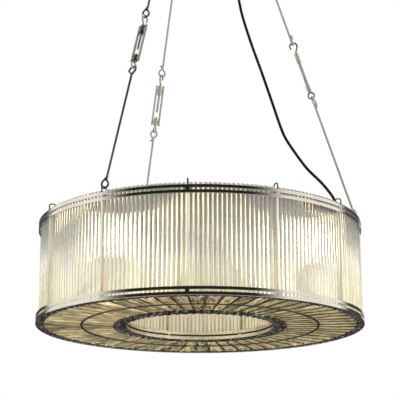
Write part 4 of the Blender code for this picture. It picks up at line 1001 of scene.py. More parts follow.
class BuildBands(bpy.types.Operator):
    """Builds the four slotted bands and their ledges"""

    bl_idname = "pendant.build_bands"
    bl_label = "Build Bands"

    def execute(self, context):
        sizes = context.scene.pendant_sizes
        top = sizes.drum_height - BAND_HEIGHT
        outer, hole = sizes.drum_radius, sizes.hole_radius
        inner = hole + BAND_THICKNESS
        half = BAND_THICKNESS / 2
        outer_ledge = (outer_rod_circle() - OUTER_LEDGE_REACH, outer - half, OUTER_CUTS)
        inner_ledge = (hole + half, hole + INNER_LEDGE_WIDTH, INNER_CUTS)
        add_band("outer_bottom_rim", outer, 0, OUTER_MODULES, "outer_bottom_band", outer_ledge)
        add_band("outer_top_rim", outer - TOP_INSET, top, OUTER_MODULES, "outer_top_band")
        add_band("inner_bottom_rim", inner, 0, INNER_MODULES, "inner_bottom_band", inner_ledge)
        add_band("inner_top_rim", inner + TOP_INSET, top, INNER_MODULES, "inner_top_band")
        # A thin black sheet just outside the inner bottom band, behind its slots, as painted shade in
        # them
        near = inner + SHADE_SHEET_GAP
        far = near + SHADE_SHEET_THICKNESS
        low, high = BAND_HEIGHT / 4, BAND_HEIGHT * 3 / 4
        profile = [(far, high), (far, low), (near, low), (near, high)]
        slot_shade_sheet = turned_mesh("painted_slot_shade", profile, BAND_STEPS * OUTER_MODULES, DRUM)
        add_piece("painted_slot_shade", slot_shade_sheet, "black plastic")
        return {"FINISHED"}


def outer_rod_circle():
    """Radius of the circle through the middles of the outer rods."""
    sizes = bpy.context.scene.pendant_sizes
    return sizes.drum_radius - TOP_INSET - BAND_THICKNESS - ROD_CLEARANCE - OUTER_ROD_SETBACK


def span_between_posts():
    """Radii of the space from the inner posts to the outer ones, less a seat at each end."""
    sizes = bpy.context.scene.pendant_sizes
    inner_face = sizes.hole_radius + BAND_THICKNESS + 2 * SEAT + INNER_POST_DEPTH
    return inner_face, outer_rod_circle() - OUTER_POST_REACH - SEAT


class BuildPosts(bpy.types.Operator):
    """Builds the posts between the bands and the wire arches on the rim"""

    bl_idname = "pendant.build_posts"
    bl_label = "Build Posts and Arches"

    def execute(self, context):
        sizes = context.scene.pendant_sizes
        foot = LEDGE_THICKNESS + SEAT
        head = sizes.drum_height - POST_DROP
        outer = outer_rod_circle() - OUTER_POST_REACH
        inner = sizes.hole_radius + BAND_THICKNESS + SEAT
        outer_row = ("outer_posts", "frame paint", OUTER_MODULES)
        inner_row = ("inner_posts", "warm paint", INNER_MODULES)
        self.add_row(*outer_row, foot, head, outer, sizes.drum_radius - OUTER_POST_INSET)
        self.add_row(*inner_row, foot, head, inner, inner + INNER_POST_DEPTH)

        outer_leg = sizes.drum_radius - TOP_INSET - BAND_THICKNESS / 2
        inner_leg = outer + STAPLE_WIRE / 2 + SEAT
        bend = sizes.drum_height + STAPLE_RISE - STAPLE_BEND
        profile = [(outer_leg, head - STAPLE_ROOT)]
        profile += arc(STAPLE_BEND, 0, math.pi / 2, STAPLE_STEPS, (outer_leg - STAPLE_BEND, bend))
        profile += arc(STAPLE_BEND, math.pi / 2, math.pi, STAPLE_STEPS, (inner_leg + STAPLE_BEND, bend))
        profile += [(inner_leg, head - STAPLE_ROOT)]
        paths = [
            [DRUM @ around(distance, bearing, height) for distance, height in profile]
            for bearing in spaced(OUTER_MODULES)
        ]
        add_piece("rim_arches", wire_mesh("rim_arches", paths, STAPLE_WIRE), "tarnished steel")
        return {"FINISHED"}

    def add_row(self, name, paint, count, foot, head, inside, outside):
        model = bmesh.new()
        size = (outside - inside, POST_WIDTH, head - foot)
        middle = ((inside + outside) / 2, 0, (foot + head) / 2)
        for bearing in spaced(count):
            add_box(model, size, middle, bearing, DRUM)
        bevel_all(model, bpy.context.scene.pendant_sizes.edge_rounding)
        add_piece(name, finish_mesh(name, model), paint)


# Glass


def rod_module(model, circle, modules, start, bottom, top):
    """One module's round rods, side by side between two posts."""
    sizes = bpy.context.scene.pendant_sizes
    gap = (POST_WIDTH + 2 * ROD_CLEARANCE) / circle
    sweep = math.tau / modules - gap
    pitch = sweep * circle / RODS_PER_MODULE
    radius = (pitch - sizes.rod_gap) / 2
    for k in range(RODS_PER_MODULE):
        bearing = start + gap / 2 + sweep * (k + 0.5) / RODS_PER_MODULE
        place = DRUM @ Matrix.Translation(around(circle, bearing, (bottom + top) / 2))
        add_bar(model, sizes.rod_sides, radius, top - bottom, place)
    rims = [edge for edge in model.edges if abs(edge.verts[0].co.z - edge.verts[1].co.z) < radius]
    bevel_edges(model, rims, radius / 4, segments=1)


class BuildRods(bpy.types.Operator):
    """Builds the two walls of clear glass rods, a piece for each module"""

    bl_idname = "pendant.build_rods"
    bl_label = "Build Glass Rods"

    def execute(self, context):
        sizes = context.scene.pendant_sizes
        bottom = LEDGE_THICKNESS + SEAT
        top = sizes.drum_height + ROD_STAND
        inner_rim = sizes.hole_radius + TOP_INSET + BAND_THICKNESS
        inner_circle = inner_rim + ROD_CLEARANCE + INNER_ROD_SETBACK
        for wall, circle, modules, finish in (
            ("outer", outer_rod_circle(), OUTER_MODULES, "clear rod glass"),
            ("inner", inner_circle, INNER_MODULES, "warm rod glass"),
        ):
            for k, start in enumerate(spaced(modules), start=1):
                model = bmesh.new()
                rod_module(model, circle, modules, start, bottom, top)
                name = f"{wall}_glass_rods_{k:02d}"
                mesh = finish_mesh(name, model, sharp=ROD_SHARP_EDGE)
                add_piece(name, mesh, finish, [f"{wall}_rods_{k:02d}"])
        return {"FINISHED"}


def plate_ring(name, inside, outside):
    """A ring of flat radial plates, each tilted so that it laps its neighbour."""
    model = bmesh.new()
    chart = model.loops.layers.uv.new(PLATE_CHART)
    step = math.tau / PLATES_PER_RING
    length = outside - inside
    inner_width = 2 * inside * math.sin(step / 2) - PLATE_JOINT
    outer_width = 2 * outside * math.sin(step / 2) - PLATE_JOINT
    middle_z = LEDGE_THICKNESS + SEAT + PLATE_LAP / 2 + PLATE_THICKNESS / 2
    tilt = Matrix.Rotation(PLATE_LAP / outer_width, 4, "X")
    place = Matrix.Translation(((inside + outside) / 2 * math.cos(step / 2), 0, middle_z))
    for number, bearing in enumerate(spaced(PLATES_PER_RING, step / 2)):
        known = set(model.verts)
        bmesh.ops.create_cube(model, size=1)
        fresh = [vert for vert in model.verts if vert not in known]
        for face in {face for vert in fresh for face in vert.link_faces}:
            for loop in face.loops:
                spot = loop.vert.co
                loop[chart].uv = (spot.y + 0.5, spot.x + 0.5 + number * CHART_STEP)
        for vert in fresh:
            vert.co.y *= outer_width if vert.co.x > 0 else inner_width
            vert.co.x *= length
            vert.co.z *= PLATE_THICKNESS
        turn = DRUM @ Matrix.Rotation(bearing, 4, "Z")
        bmesh.ops.transform(model, matrix=turn @ place @ tilt, verts=fresh)
    bevel_all(model, PLATE_CORNER, segments=1)
    return finish_mesh(name, model)


class BuildPlates(bpy.types.Operator):
    """Builds the two rings of radial glass plates in the underside"""

    bl_idname = "pendant.build_plates"
    bl_label = "Build Glass Plates"

    def execute(self, context):
        hole = context.scene.pendant_sizes.hole_radius
        for wall, inside, outside in (
            ("outer", MID_RING_RADIUS + MID_PLATE_REST, outer_rod_circle() - OUTER_PLATE_REACH),
            ("inner", hole + INNER_LEDGE_WIDTH - INNER_PLATE_REST, MID_RING_RADIUS - MID_PLATE_REST),
        ):
            name = f"{wall}_plates"
            mesh = plate_ring(name, inside, outside)
            add_piece(name, mesh, "champagne plate glass", [f"{wall}_glass_plates"])
        return {"FINISHED"}


class BuildUndersideFrame(bpy.types.Operator):
    """Builds the ring between the plates and the radial bars that carry it"""

    bl_idname = "pendant.build_underside_frame"
    bl_label = "Build Underside Frame"

    def execute(self, context):
        rounding = context.scene.pendant_sizes.edge_rounding
        half = MID_RING_WIDTH / 2
        inside, outside = MID_RING_RADIUS - half, MID_RING_RADIUS + half
        corner = rounding * MID_RING_ROUNDING_SHARE
        profile = rounded_rectangle(inside, outside, 0, LEDGE_THICKNESS, corner)
        ring = turned_mesh("mid_ring", profile, BAND_STEPS * OUTER_MODULES, DRUM)
        model = bmesh.new()
        start, end = span_between_posts()
        size = (end - start, BAR_WIDTH, BAR_HEIGHT)
        middle_z = LEDGE_THICKNESS + 2 * SEAT + BAR_LIFT + BAR_HEIGHT / 2
        for bearing in spaced(INNER_MODULES):
            add_box(model, size, ((start + end) / 2, 0, middle_z), bearing, DRUM)
        bevel_all(model, rounding)
        mesh = join_meshes("mid_ring_and_bars", [ring, finish_mesh("radial_bars", model)])
        add_piece("mid_ring_and_bars", mesh, "tarnished steel", ["underside_frame"])
        return {"FINISHED"}


# Lamp frame, lamps and wiring


class BuildLampFrame(bpy.types.Operator):
    """Builds the painted ring on its bent straps, with the lampholder brackets and the box tab"""

    bl_idname = "pendant.build_lamp_frame"
    bl_label = "Build Lamp Frame"

    def execute(self, context):
        sizes = context.scene.pendant_sizes
        top = sizes.drum_height - LAMP_FRAME_DROP + STRAP_THICKNESS
        level = top - STRAP_THICKNESS / 2
        low, high = level - LAMP_RING_THICKNESS / 2, level + LAMP_RING_THICKNESS / 2
        inside, outside = LAMP_CIRCLE - LAMP_RING_WIDTH / 2, LAMP_CIRCLE + LAMP_RING_WIDTH / 2
        profile = rounded_rectangle(inside, outside, low, high, sizes.edge_rounding)
        ring = turned_mesh("lamp_ring", profile, LAMP_RING_STEPS, DRUM)

        model = bmesh.new()
        start, end = span_between_posts()
        rise = sizes.drum_height - POST_DROP - top
        strap = (end - start, STRAP_WIDTH, STRAP_THICKNESS)
        leg = (STRAP_THICKNESS, STRAP_WIDTH, rise + STRAP_LAP)
        for bearing in spaced(INNER_MODULES):
            add_box(model, strap, ((start + end) / 2, 0, level), bearing, DRUM)
            for face, way in ((start, 1), (end, -1)):
                middle = (face + way * STRAP_THICKNESS / 2, 0, top + rise / 2)
                add_box(model, leg, middle, bearing, DRUM)
        foot = sizes.drum_height - LAMP_DROP - BRACKET_DROP
        across = HOLDER_LENGTH + SEAT + STRAP_THICKNESS / 2
        bracket = (LAMP_RING_WIDTH - STRAP_THICKNESS, STRAP_THICKNESS, level - foot)
        for bearing in spaced(LAMPS, LAMP_BEARING):
            add_box(model, bracket, (LAMP_CIRCLE, across, (foot + level) / 2), bearing, DRUM)
        tab = (BOX_SIZE[2] + LAMP_RING_WIDTH / 4, BOX_TAB_WIDTH, STRAP_THICKNESS)
        add_box(model, tab, (outside + BOX_SIZE[2] - tab[0] / 2, 0, level), BOX_BEARING, DRUM)
        bevel_all(model, STRAP_CORNER)
        mesh = join_meshes("painted_lamp_frame", [ring, finish_mesh("lamp_straps", model)])
        add_piece("painted_lamp_frame", mesh, "frame paint", ["lamp_frame"])
        return {"FINISHED"}


def lamp_matrices():
    """At each lampholder's mouth, with +Z along the lamp towards the glass."""
    made = []
    for joint in LAMP_JOINTS:
        along = Vector(joint["axis"])
        made.append(axes_matrix(UP.cross(along), UP, along, Vector(joint["pos_m"])))
    return made


def holder_profile():
    """From the well's floor over the mouth and down the ribbed skirt to the back."""
    well = CAP_RADIUS + WELL_CLEARANCE
    ribbed = HOLDER_SKIRT - 2 * RIB_MARGIN
    groove = HOLDER_RADIUS - RIB_DEPTH
    profile = [(0, -WELL_DEPTH), (well, -WELL_DEPTH), (well, -WELL_CORNER), (well + WELL_CORNER, 0)]
    profile += [(HOLDER_RADIUS - HOLDER_CORNER, 0), (HOLDER_RADIUS, -HOLDER_CORNER)]
    for i in range(HOLDER_RIBS):
        low = -RIB_MARGIN - i * ribbed / HOLDER_RIBS
        profile += [(HOLDER_RADIUS, low), (groove, low - RIB_FLANK)]
        low -= RIB_FLANK + RIB_GROOVE
        profile += [(groove, low), (HOLDER_RADIUS, low - RIB_FLANK)]
    profile += [(HOLDER_RADIUS, -HOLDER_SKIRT), (HOLDER_WAIST, -HOLDER_SKIRT - HOLDER_SHOULDER)]
    profile += [(HOLDER_WAIST, -HOLDER_LENGTH + HOLDER_TAIL)]
    return profile + [(HOLDER_BACK, -HOLDER_LENGTH), (0, -HOLDER_LENGTH)]


def globe_profile():
    """From the top of the glass down its neck and the threaded cap to the cap's tip."""
    glass = arc(BULB_RADIUS, math.pi / 2, BULB_END, BULB_STEPS, (0, BULB_REACH - BULB_RADIUS))
    across, up = glass[-1]
    neck = ((across + CAP_RADIUS) / 2 - NECK_WAIST, (up + CAP_COLLAR) / 2 + NECK_RISE)
    profile = [(0, BULB_REACH), *glass[1:], neck]
    profile += [(CAP_RADIUS + CAP_COLLAR_REACH, CAP_COLLAR), (CAP_RADIUS, CAP_COLLAR / 2)]
    for i in range(CAP_TURNS):
        low = CAP_TOP - i * CAP_PITCH
        profile += [(CAP_RADIUS, low), (CAP_RADIUS - CAP_THREAD, low - CAP_PITCH / 2)]
    tip = -CAP_TIP
    return profile + [(CAP_RADIUS / 2, tip + CAP_TIP_RISE), (CAP_RADIUS / 3, tip), (0, tip)]


class BuildLamps(bpy.types.Operator):
    """Builds the lampholders and the lit lamps"""

    bl_idname = "pendant.build_lamps"
    bl_label = "Build Lamps"

    def execute(self, context):
        for k, matrix in enumerate(lamp_matrices(), start=1):
            holder = turned_mesh("ribbed_holder", holder_profile(), LAMP_STEPS, matrix, False)
            add_piece(f"ribbed_holder_{k}", holder, "black plastic", [f"lampholder_{k}"])
            globe = turned_mesh("lit_globe", globe_profile(), LAMP_STEPS, matrix, False)
            add_piece(f"lit_globe_{k}", globe, "lit lamp glass", [f"bulb_{k}"], f"bulb_{k}")
        return {"FINISHED"}


def box_matrix():
    """At the junction box's outer face, with +Z outward along the gland."""
    outward = (DRUM.to_3x3() @ around(1, BOX_BEARING)).normalized()
    frame_foot = DRUM_BOTTOM + bpy.context.scene.pendant_sizes.drum_height - LAMP_FRAME_DROP
    height = frame_foot - SEAT - BOX_SIZE[1] / 2
    reach = LAMP_CIRCLE + LAMP_RING_WIDTH / 2 + BOX_SIZE[2]
    return axes_matrix(UP.cross(outward), UP, outward, outward * reach + UP * height)


class BuildWiring(bpy.types.Operator):
    """Builds the junction box, the gland, the lamp wiring and the supply cable"""

    bl_idname = "pendant.build_wiring"
    bl_label = "Build Wiring"

    def execute(self, context):
        place = box_matrix()
        self.add_junction_box(place)
        gland_end = self.add_gland(place)
        self.add_cable(place, gland_end)
        self.add_loom()
        return {"FINISHED"}

    def add_junction_box(self, place):
        length, height, depth = BOX_SIZE
        model = bmesh.new()
        for wide, tall, deep, behind in BOX_PART_SHARES:
            size = (length * wide, height * tall, depth * deep)
            add_box(model, size, (0, 0, -depth * behind), matrix=place)
        bevel_all(model, BOX_CORNER, segments=3)
        for share in (-SCREW_SHARE, SCREW_SHARE):
            screw = place @ Matrix.Translation((length * share, 0, SCREW_RISE))
            spin_profile(model, SCREW_PROFILE, SCREW_STEPS, screw, closed=False)
        add_piece("lidded_box", finish_mesh("lidded_box", model), "black plastic", ["junction_box"])

    def add_gland(self, place):
        """The gland's nut and its ribbed boot. Returns the boot's far end along the gland."""
        model = bmesh.new()
        nut = place @ Matrix.Translation((0, 0, SEAT + GLAND_LENGTH / 2))
        add_bar(model, HEX_SIDES, GLAND_RADIUS, GLAND_LENGTH, nut)
        bevel_all(model, GLAND_CORNER)
        start = SEAT + GLAND_LENGTH
        boot = [(0, start - GLAND_CORNER), (BOOT_FOOT, start - GLAND_CORNER)]
        pitch = BOOT_LENGTH / BOOT_RINGS
        ring_start, ring_end, sunk = (pitch * share for share in BOOT_RING_SHARES)
        for i in range(BOOT_RINGS):
            share = i / BOOT_RINGS
            wide = BOOT_RADIUS - BOOT_TAPER * share
            narrow = wide - BOOT_GROOVE
            low = start + BOOT_LENGTH * share
            boot += [(wide, low + ring_start), (wide, low + ring_end)]
            boot += [(narrow, low + sunk), (narrow, low + pitch)]
        boot += [(BOOT_MOUTH, start + BOOT_LENGTH), (0, start + BOOT_LENGTH)]
        spin_profile(model, boot, BOOT_STEPS, place, closed=False)
        mesh = finish_mesh("ribbed_gland", model)
        add_piece("ribbed_gland", mesh, "black plastic", ["cable_gland"])
        return 2 * SEAT + GLAND_LENGTH + BOOT_LENGTH

    def add_cable(self, place, gland_end):
        outward = place.to_3x3() @ UP
        rim = DRUM_BOTTOM + bpy.context.scene.pendant_sizes.drum_height
        end = place @ Vector((0, 0, gland_end))
        route = [outward * distance + UP * (rim + height) for distance, height in CABLE_ROUTE]
        route.append(end + outward * CABLE_STRAIGHT)
        path = smooth_points(route, end, *CABLE_BEND)
        curve = wire_curve("black_supply_cable", [path[::-1]], CABLE_DIAMETER, THICK_WIRE_SIDES)
        cable = add_piece("black_supply_cable", curve, "cable sheath", ["supply_cable"])

    def add_loom(self):
        """The wiring round the lamp frame, as (bearing, distance, height) stops by each lamp."""
        drum_height = bpy.context.scene.pendant_sizes.drum_height
        radius = LOOM_DIAMETER / 2
        high = drum_height - LAMP_FRAME_DROP + STRAP_THICKNESS + SEAT + radius
        low = drum_height - LAMP_DROP + HOLDER_WAIST + SEAT + radius
        half_way = (high + low) / 2
        side = LAMP_CIRCLE - LAMP_RING_WIDTH / 2 - radius - LOOM_GAP
        waist = (HOLDER_SKIRT + HOLDER_LENGTH) / 2
        slope = LOOM_DIP / 2
        dip = (
            (waist - LOOM_DIP - slope, LAMP_CIRCLE, high),
            (waist - LOOM_DIP, side, high),
            (waist - slope, side, half_way),
            (waist, LAMP_CIRCLE, low),
            (waist + slope, side, half_way),
            (waist + LOOM_DIP, side, high),
            (waist + LOOM_DIP + slope, LAMP_CIRCLE, high),
        )
        route = []
        for bearing in spaced(LAMPS, LAMP_BEARING):
            stops = [(bearing + along / LAMP_CIRCLE, *rest) for along, *rest in dip]
            last = stops[-1][0]
            for i in range(LOOM_CLIPS):
                stops.append((last + LOOM_CLIP_STEP * (i + 1), LAMP_CIRCLE, high))
            route += [DRUM @ around(distance, turn, height) for turn, distance, height in stops]
        path = smooth_points(route[:-1], route[-1], *LOOM_BEND)
        mesh = wire_mesh("black_lamp_wiring", [path], LOOM_DIAMETER)
        add_piece("black_lamp_wiring", mesh, "cable sheath", ["lamp_wiring"])


# Strands


def strand_matrix(joint, upright):
    """The strand's own frame, with its foot at the origin and +Y along it."""
    along = Vector(joint["axis"])
    foot = Vector(joint["pos_m"]) - along * FRAME_MIDDLE
    outward = Vector((foot.x, foot.y, 0)).normalized()
    across = UP.cross(outward)
    aside = across.cross(along)
    if upright:
        return axes_matrix(aside, along, -across, foot)
    return axes_matrix(across, along, aside, foot)


def placed(matrix, points):
    """Points with their share of the wire's width, in the matrix's place."""
    return [(*(matrix @ Vector(point[:3])), *point[3:]) for point in points]


def eye_points(far, way):
    """A bent eye from its neck round to its tail, beside its own shaft at the end."""
    opening = math.acos(EYE_RADIUS / (EYE_RADIUS + EYE_NECK))
    middle = far + way * EYE_RADIUS
    neck = middle + way * (EYE_RADIUS + EYE_NECK)
    points = [(0, neck, 0, SHAFT_SHARE)]
    for i in range(EYE_STEPS + 1):
        share = i / EYE_STEPS
        angle = opening + (math.tau - 2 * opening) * share
        across, up = EYE_RADIUS * math.sin(angle), EYE_RADIUS * math.cos(angle)
        climb = max(0.0, share - EYE_LEVEL_SHARE) / (1 - EYE_LEVEL_SHARE)
        points.append((across, middle + way * up, ROD_WIRE * EYE_LIFT_SHARE * climb, 1))
    across, up = EYE_TAIL * math.cos(opening), EYE_TAIL * math.sin(opening)
    return points + [(across, neck + way * up, ROD_WIRE * TAIL_LIFT_SHARE, 1)]


def threaded_shank(matrix, start, end):
    """A threaded shank along the strand, with a plain tip at each end."""
    crest = SHANK / 2
    root = crest - THREAD_DEPTH
    profile = [(0, start), (root, start), (crest, start + THREAD_PITCH / 2)]
    for i in range(int((end - start) / THREAD_PITCH) - 2):
        low = start + THREAD_PITCH * (i + 1)
        profile += [(root, low), (crest, low + THREAD_PITCH / 2)]
    profile += [(root, end), (0, end)]
    turn = matrix @ Matrix.Rotation(-math.pi / 2, 4, "X")
    return turned_mesh("shank", profile, THREAD_STEPS, turn, closed=False, sharp=THREAD_SHARP_EDGE)


class BuildStrands(bpy.types.Operator):
    """Builds the wire rods with their eyes, and the turnbuckles"""

    bl_idname = "pendant.build_strands"
    bl_label = "Build Strands"

    def execute(self, context):
        for k, joint in enumerate(STRAND_JOINTS, start=1):
            level = strand_matrix(joint, upright=False)
            upright = strand_matrix(joint, upright=True)
            self.add_rods(k, math.acos(Vector(joint["axis"]).z), level, upright)
            self.add_eye_bolt(k, upright)
            self.add_hook_bolt(k, upright)
            self.add_frame(k, upright @ Matrix.Translation((0, FRAME_MIDDLE, 0)))
        return {"FINISHED"}

    def add_rods(self, k, lean, level, upright):
        """The lower rod, hooked in the rim arch, and the upper one, hooked in the hanger plate."""
        lower_foot = -((STAPLE_WIRE + ROD_WIRE) / 2 + SEAT) / math.cos(lean)
        hook_crest = FRAME_MIDDLE + TURNBUCKLE_LENGTH / 2 + HOOK_HEIGHT - HOOK_WIRE / 2
        upper_foot = hook_crest - (HOOK_WIRE + ROD_WIRE) / 2 - SEAT
        hanger_edge = (HANGER_HOLE_CIRCLE + HANGER_RADIUS + HANGER_HOLE_RADIUS) / 2
        upper_head = (ANCHOR_RADIUS - hanger_edge) / math.sin(lean) + EYE_RADIUS
        for part, foot, head, head_place in (
            ("lower", lower_foot, lower_foot + LOWER_ROD_LENGTH, level),
            ("upper", upper_foot, upper_head, upright),
        ):
            path = placed(level, eye_points(foot, 1))[::-1]
            path += placed(head_place, eye_points(head, -1))
            name = f"{part}_wire_{k}"
            mesh = wire_mesh(name, [path], WIRE_SHOWN)
            add_piece(name, mesh, STRAND_FINISHES[k - 1], [f"{part}_rod_{k}"])

    def add_bolt(self, name, node, place, points, wire, start, end):
        """A bent wire on its threaded shank."""
        bow = wire_mesh("bow", [placed(place, points)], wire)
        mesh = join_meshes(name, [bow, threaded_shank(place, start, end)])
        add_piece(name, mesh, "polished nickel", [node])

    def add_eye_bolt(self, k, place):
        foot = FRAME_MIDDLE - TURNBUCKLE_LENGTH / 2
        middle = foot - EYEBOLT_NECK - EYEBOLT_RADIUS
        end = EYEBOLT_START - EYEBOLT_SWEEP
        loop = arc(EYEBOLT_RADIUS, EYEBOLT_START, end, BOW_STEPS, (0, middle))
        points = [(0, foot, 0, SHAFT_SHARE), (0, foot - EYEBOLT_ROOT, 0, SHAFT_SHARE)]
        points += [(across, up, 0, 1) for across, up in loop]
        shank = (foot - SHANK_LAP, foot + LOWER_SHANK)
        names = (f"turnbuckle_eye_bolt_{k}", f"turnbuckle_eye_{k}")
        self.add_bolt(*names, place, points, EYEBOLT_WIRE, *shank)

    def add_hook_bolt(self, k, place):
        head = FRAME_MIDDLE + TURNBUCKLE_LENGTH / 2
        middle = head + HOOK_HEIGHT - HOOK_WIRE / 2 - HOOK_RADIUS
        bow = arc(HOOK_RADIUS, HOOK_START, HOOK_END, BOW_STEPS, (0, middle))
        neck = (0, head + HOOK_WIRE / 3, 0, HOOK_NECK_SHARE)
        points = [(0, head - HOOK_ROOT, 0, SHAFT_SHARE), neck]
        points += [(across, up, 0, 1) for across, up in bow[:-1]]
        points.append((*bow[-1], 0, HOOK_TIP_SHARE))
        shank = (head - UPPER_SHANK, head - SHANK_LAP)
        names = (f"turnbuckle_hook_bolt_{k}", f"turnbuckle_hook_{k}")
        self.add_bolt(*names, place, points, HOOK_WIRE, *shank)

    def add_frame(self, k, place):
        """Two side bars with a round bored boss between them at each end."""
        half = TURNBUCKLE_LENGTH / 2
        offset = (TURNBUCKLE_WIDTH - SIDE_BAR_WIDTH) / 2
        web = offset - BOSS_RADIUS
        model = bmesh.new()
        for way in (-1, 1):
            size = (SIDE_BAR_DEPTH, TURNBUCKLE_LENGTH, SIDE_BAR_WIDTH)
            add_box(model, size, (0, 0, way * offset), matrix=place)
            for end, length in ((-1, BOTTOM_BOSS), (1, TOP_BOSS)):
                middle = (0, end * (half - length / 2), way * (BOSS_RADIUS + web / 2))
                size = (SIDE_BAR_DEPTH, length * WEB_SHARE, web + SIDE_BAR_WIDTH / 2)
                add_box(model, size, middle, matrix=place)
        bevel_all(model, BAR_CORNER)
        bars = finish_mesh("bars", model)
        model = bmesh.new()
        bore = SHANK / 2 + BORE_CLEARANCE
        turn = place @ Matrix.Rotation(-math.pi / 2, 4, "X")
        for low, high in ((-half, -half + BOTTOM_BOSS), (half - TOP_BOSS, half)):
            ends = (low + BOSS_FOOT_GAP, high - BOSS_HEAD_GAP)
            profile = rounded_rectangle(bore, BOSS_RADIUS, *ends, BOSS_CORNER)
            spin_profile(model, profile, BOSS_STEPS, turn)
        for name, mesh, finishes in (
            (f"turnbuckle_body_{k}", bars, BAR_FINISHES),
            (f"turnbuckle_bosses_{k}", finish_mesh("bosses", model), BOSS_FINISHES),
        ):
            body = f"turnbuckle_{k}"
            add_piece(name, mesh, finishes[k - 1], [f"turnbuckle_frame_{k}"], body)


# Ceiling fitting and hanger


class BuildCeilingFitting(bpy.types.Operator):
    """Builds the canopy cup, the ceiling plate with its hook, and the ring"""

    bl_idname = "pendant.build_ceiling_fitting"
    bl_label = "Build Ceiling Fitting"

    def execute(self, context):
        self.add_cup()
        self.add_plate()
        self.add_hook()
        self.add_ring()
        return {"FINISHED"}

    def add_cup(self):
        outer = self.cup_bend(0)
        inner = self.cup_bend(CUP_WALL)
        profile = [(CUP_RADIUS, -SEAT), (CUP_RADIUS, -CUP_SHOULDER), *outer[1:]]
        profile += [(CUP_MOUTH - CUP_LIP, -CUP_DEPTH + CUP_WALL / 2), *reversed(inner)]
        profile += [(CUP_RADIUS - CUP_WALL, -SEAT)]
        canopy = turned_mesh("spun_canopy", profile, CUP_STEPS)
        add_piece("spun_canopy", canopy, "polished nickel", ["canopy_cup"], "ceiling")

    def cup_bend(self, wall):
        """The cup's rounded shoulder from its side to its mouth, a wall's thickness inside it."""
        width = CUP_RADIUS - CUP_MOUTH - wall
        drop = CUP_DEPTH - CUP_SHOULDER - wall
        angles = [math.pi / 2 * i / CUP_BEND_STEPS for i in range(CUP_BEND_STEPS + 1)]
        return [
            (CUP_MOUTH + width * math.cos(a), -CUP_SHOULDER - drop * math.sin(a)) for a in angles
        ]

    def add_plate(self):
        edge, thick = CEILING_PLATE_RADIUS, CEILING_PLATE_THICKNESS
        corner, boss_corner = CEILING_PLATE_CORNER, HOOK_BOSS_CORNER
        profile = [(0, 0), (edge - corner, 0), (edge, -corner), (edge, corner - thick)]
        profile += [(edge - corner, -thick), (HOOK_BOSS_RADIUS + boss_corner, -thick)]
        profile += [(HOOK_BOSS_RADIUS, -thick - boss_corner)]
        profile += [(HOOK_BOSS_RADIUS, boss_corner - HOOK_BOSS_DEPTH)]
        profile += [(HOOK_BOSS_RADIUS - boss_corner, -HOOK_BOSS_DEPTH)]
        profile += [(HOOK_BORE, -HOOK_BOSS_DEPTH), (HOOK_BORE, -HOOK_BORE_TOP), (0, -HOOK_BORE_TOP)]
        plate = turned_mesh("plate", profile, CEILING_PLATE_STEPS, closed=False)
        model = bmesh.new()
        for bearing in spaced(3):
            for size, middle in CUP_TAB:
                add_box(model, size, middle, bearing)
        bevel_all(model, CUP_TAB_CORNER)
        name = "ceiling_plate_and_tabs"
        mesh = join_meshes(name, [plate, finish_mesh("tabs", model)])
        add_piece(name, mesh, "bright steel", ["ceiling_plate"], "ceiling")

    def add_hook(self):
        bend = CEILING_HOOK_BEND
        centre = HOOK_PIVOT.z + bend
        neck = centre + 2 * bend - CEILING_HOOK_NECK
        path = [(0, 0, -CEILING_HOOK_TOP), (0, 0, neck)]
        for angle in NECK_TURNS:
            path.append((bend * math.sin(angle) * NECK_SHARE, 0, neck - NECK_DROP * angle))
        turn = (CEILING_HOOK_START, CEILING_HOOK_END)
        bow = arc(bend, *turn, CEILING_HOOK_STEPS, (0, centre))
        path += [(across, 0, up) for across, up in bow]
        hook = wire_mesh("round_ceiling_hook", [path], CEILING_HOOK_WIRE, THICK_WIRE_SIDES, FITTING)
        add_piece("round_ceiling_hook", hook, "bright steel", ["ceiling_hook"], "ceiling")

    def add_ring(self):
        middle = Matrix.Translation((0, 0, RING_PIVOT.z + RING_RADIUS))
        turn = FITTING @ middle @ Matrix.Rotation(math.pi / 2, 4, "Y")
        circle = arc(RING_WIRE / 2, 0, math.tau, RING_WIRE_STEPS, (RING_RADIUS, 0))[:-1]
        link = turned_mesh("round_link", circle, RING_STEPS, turn)
        add_piece("round_link", link, "bright steel", ["suspension_ring"], "ring")


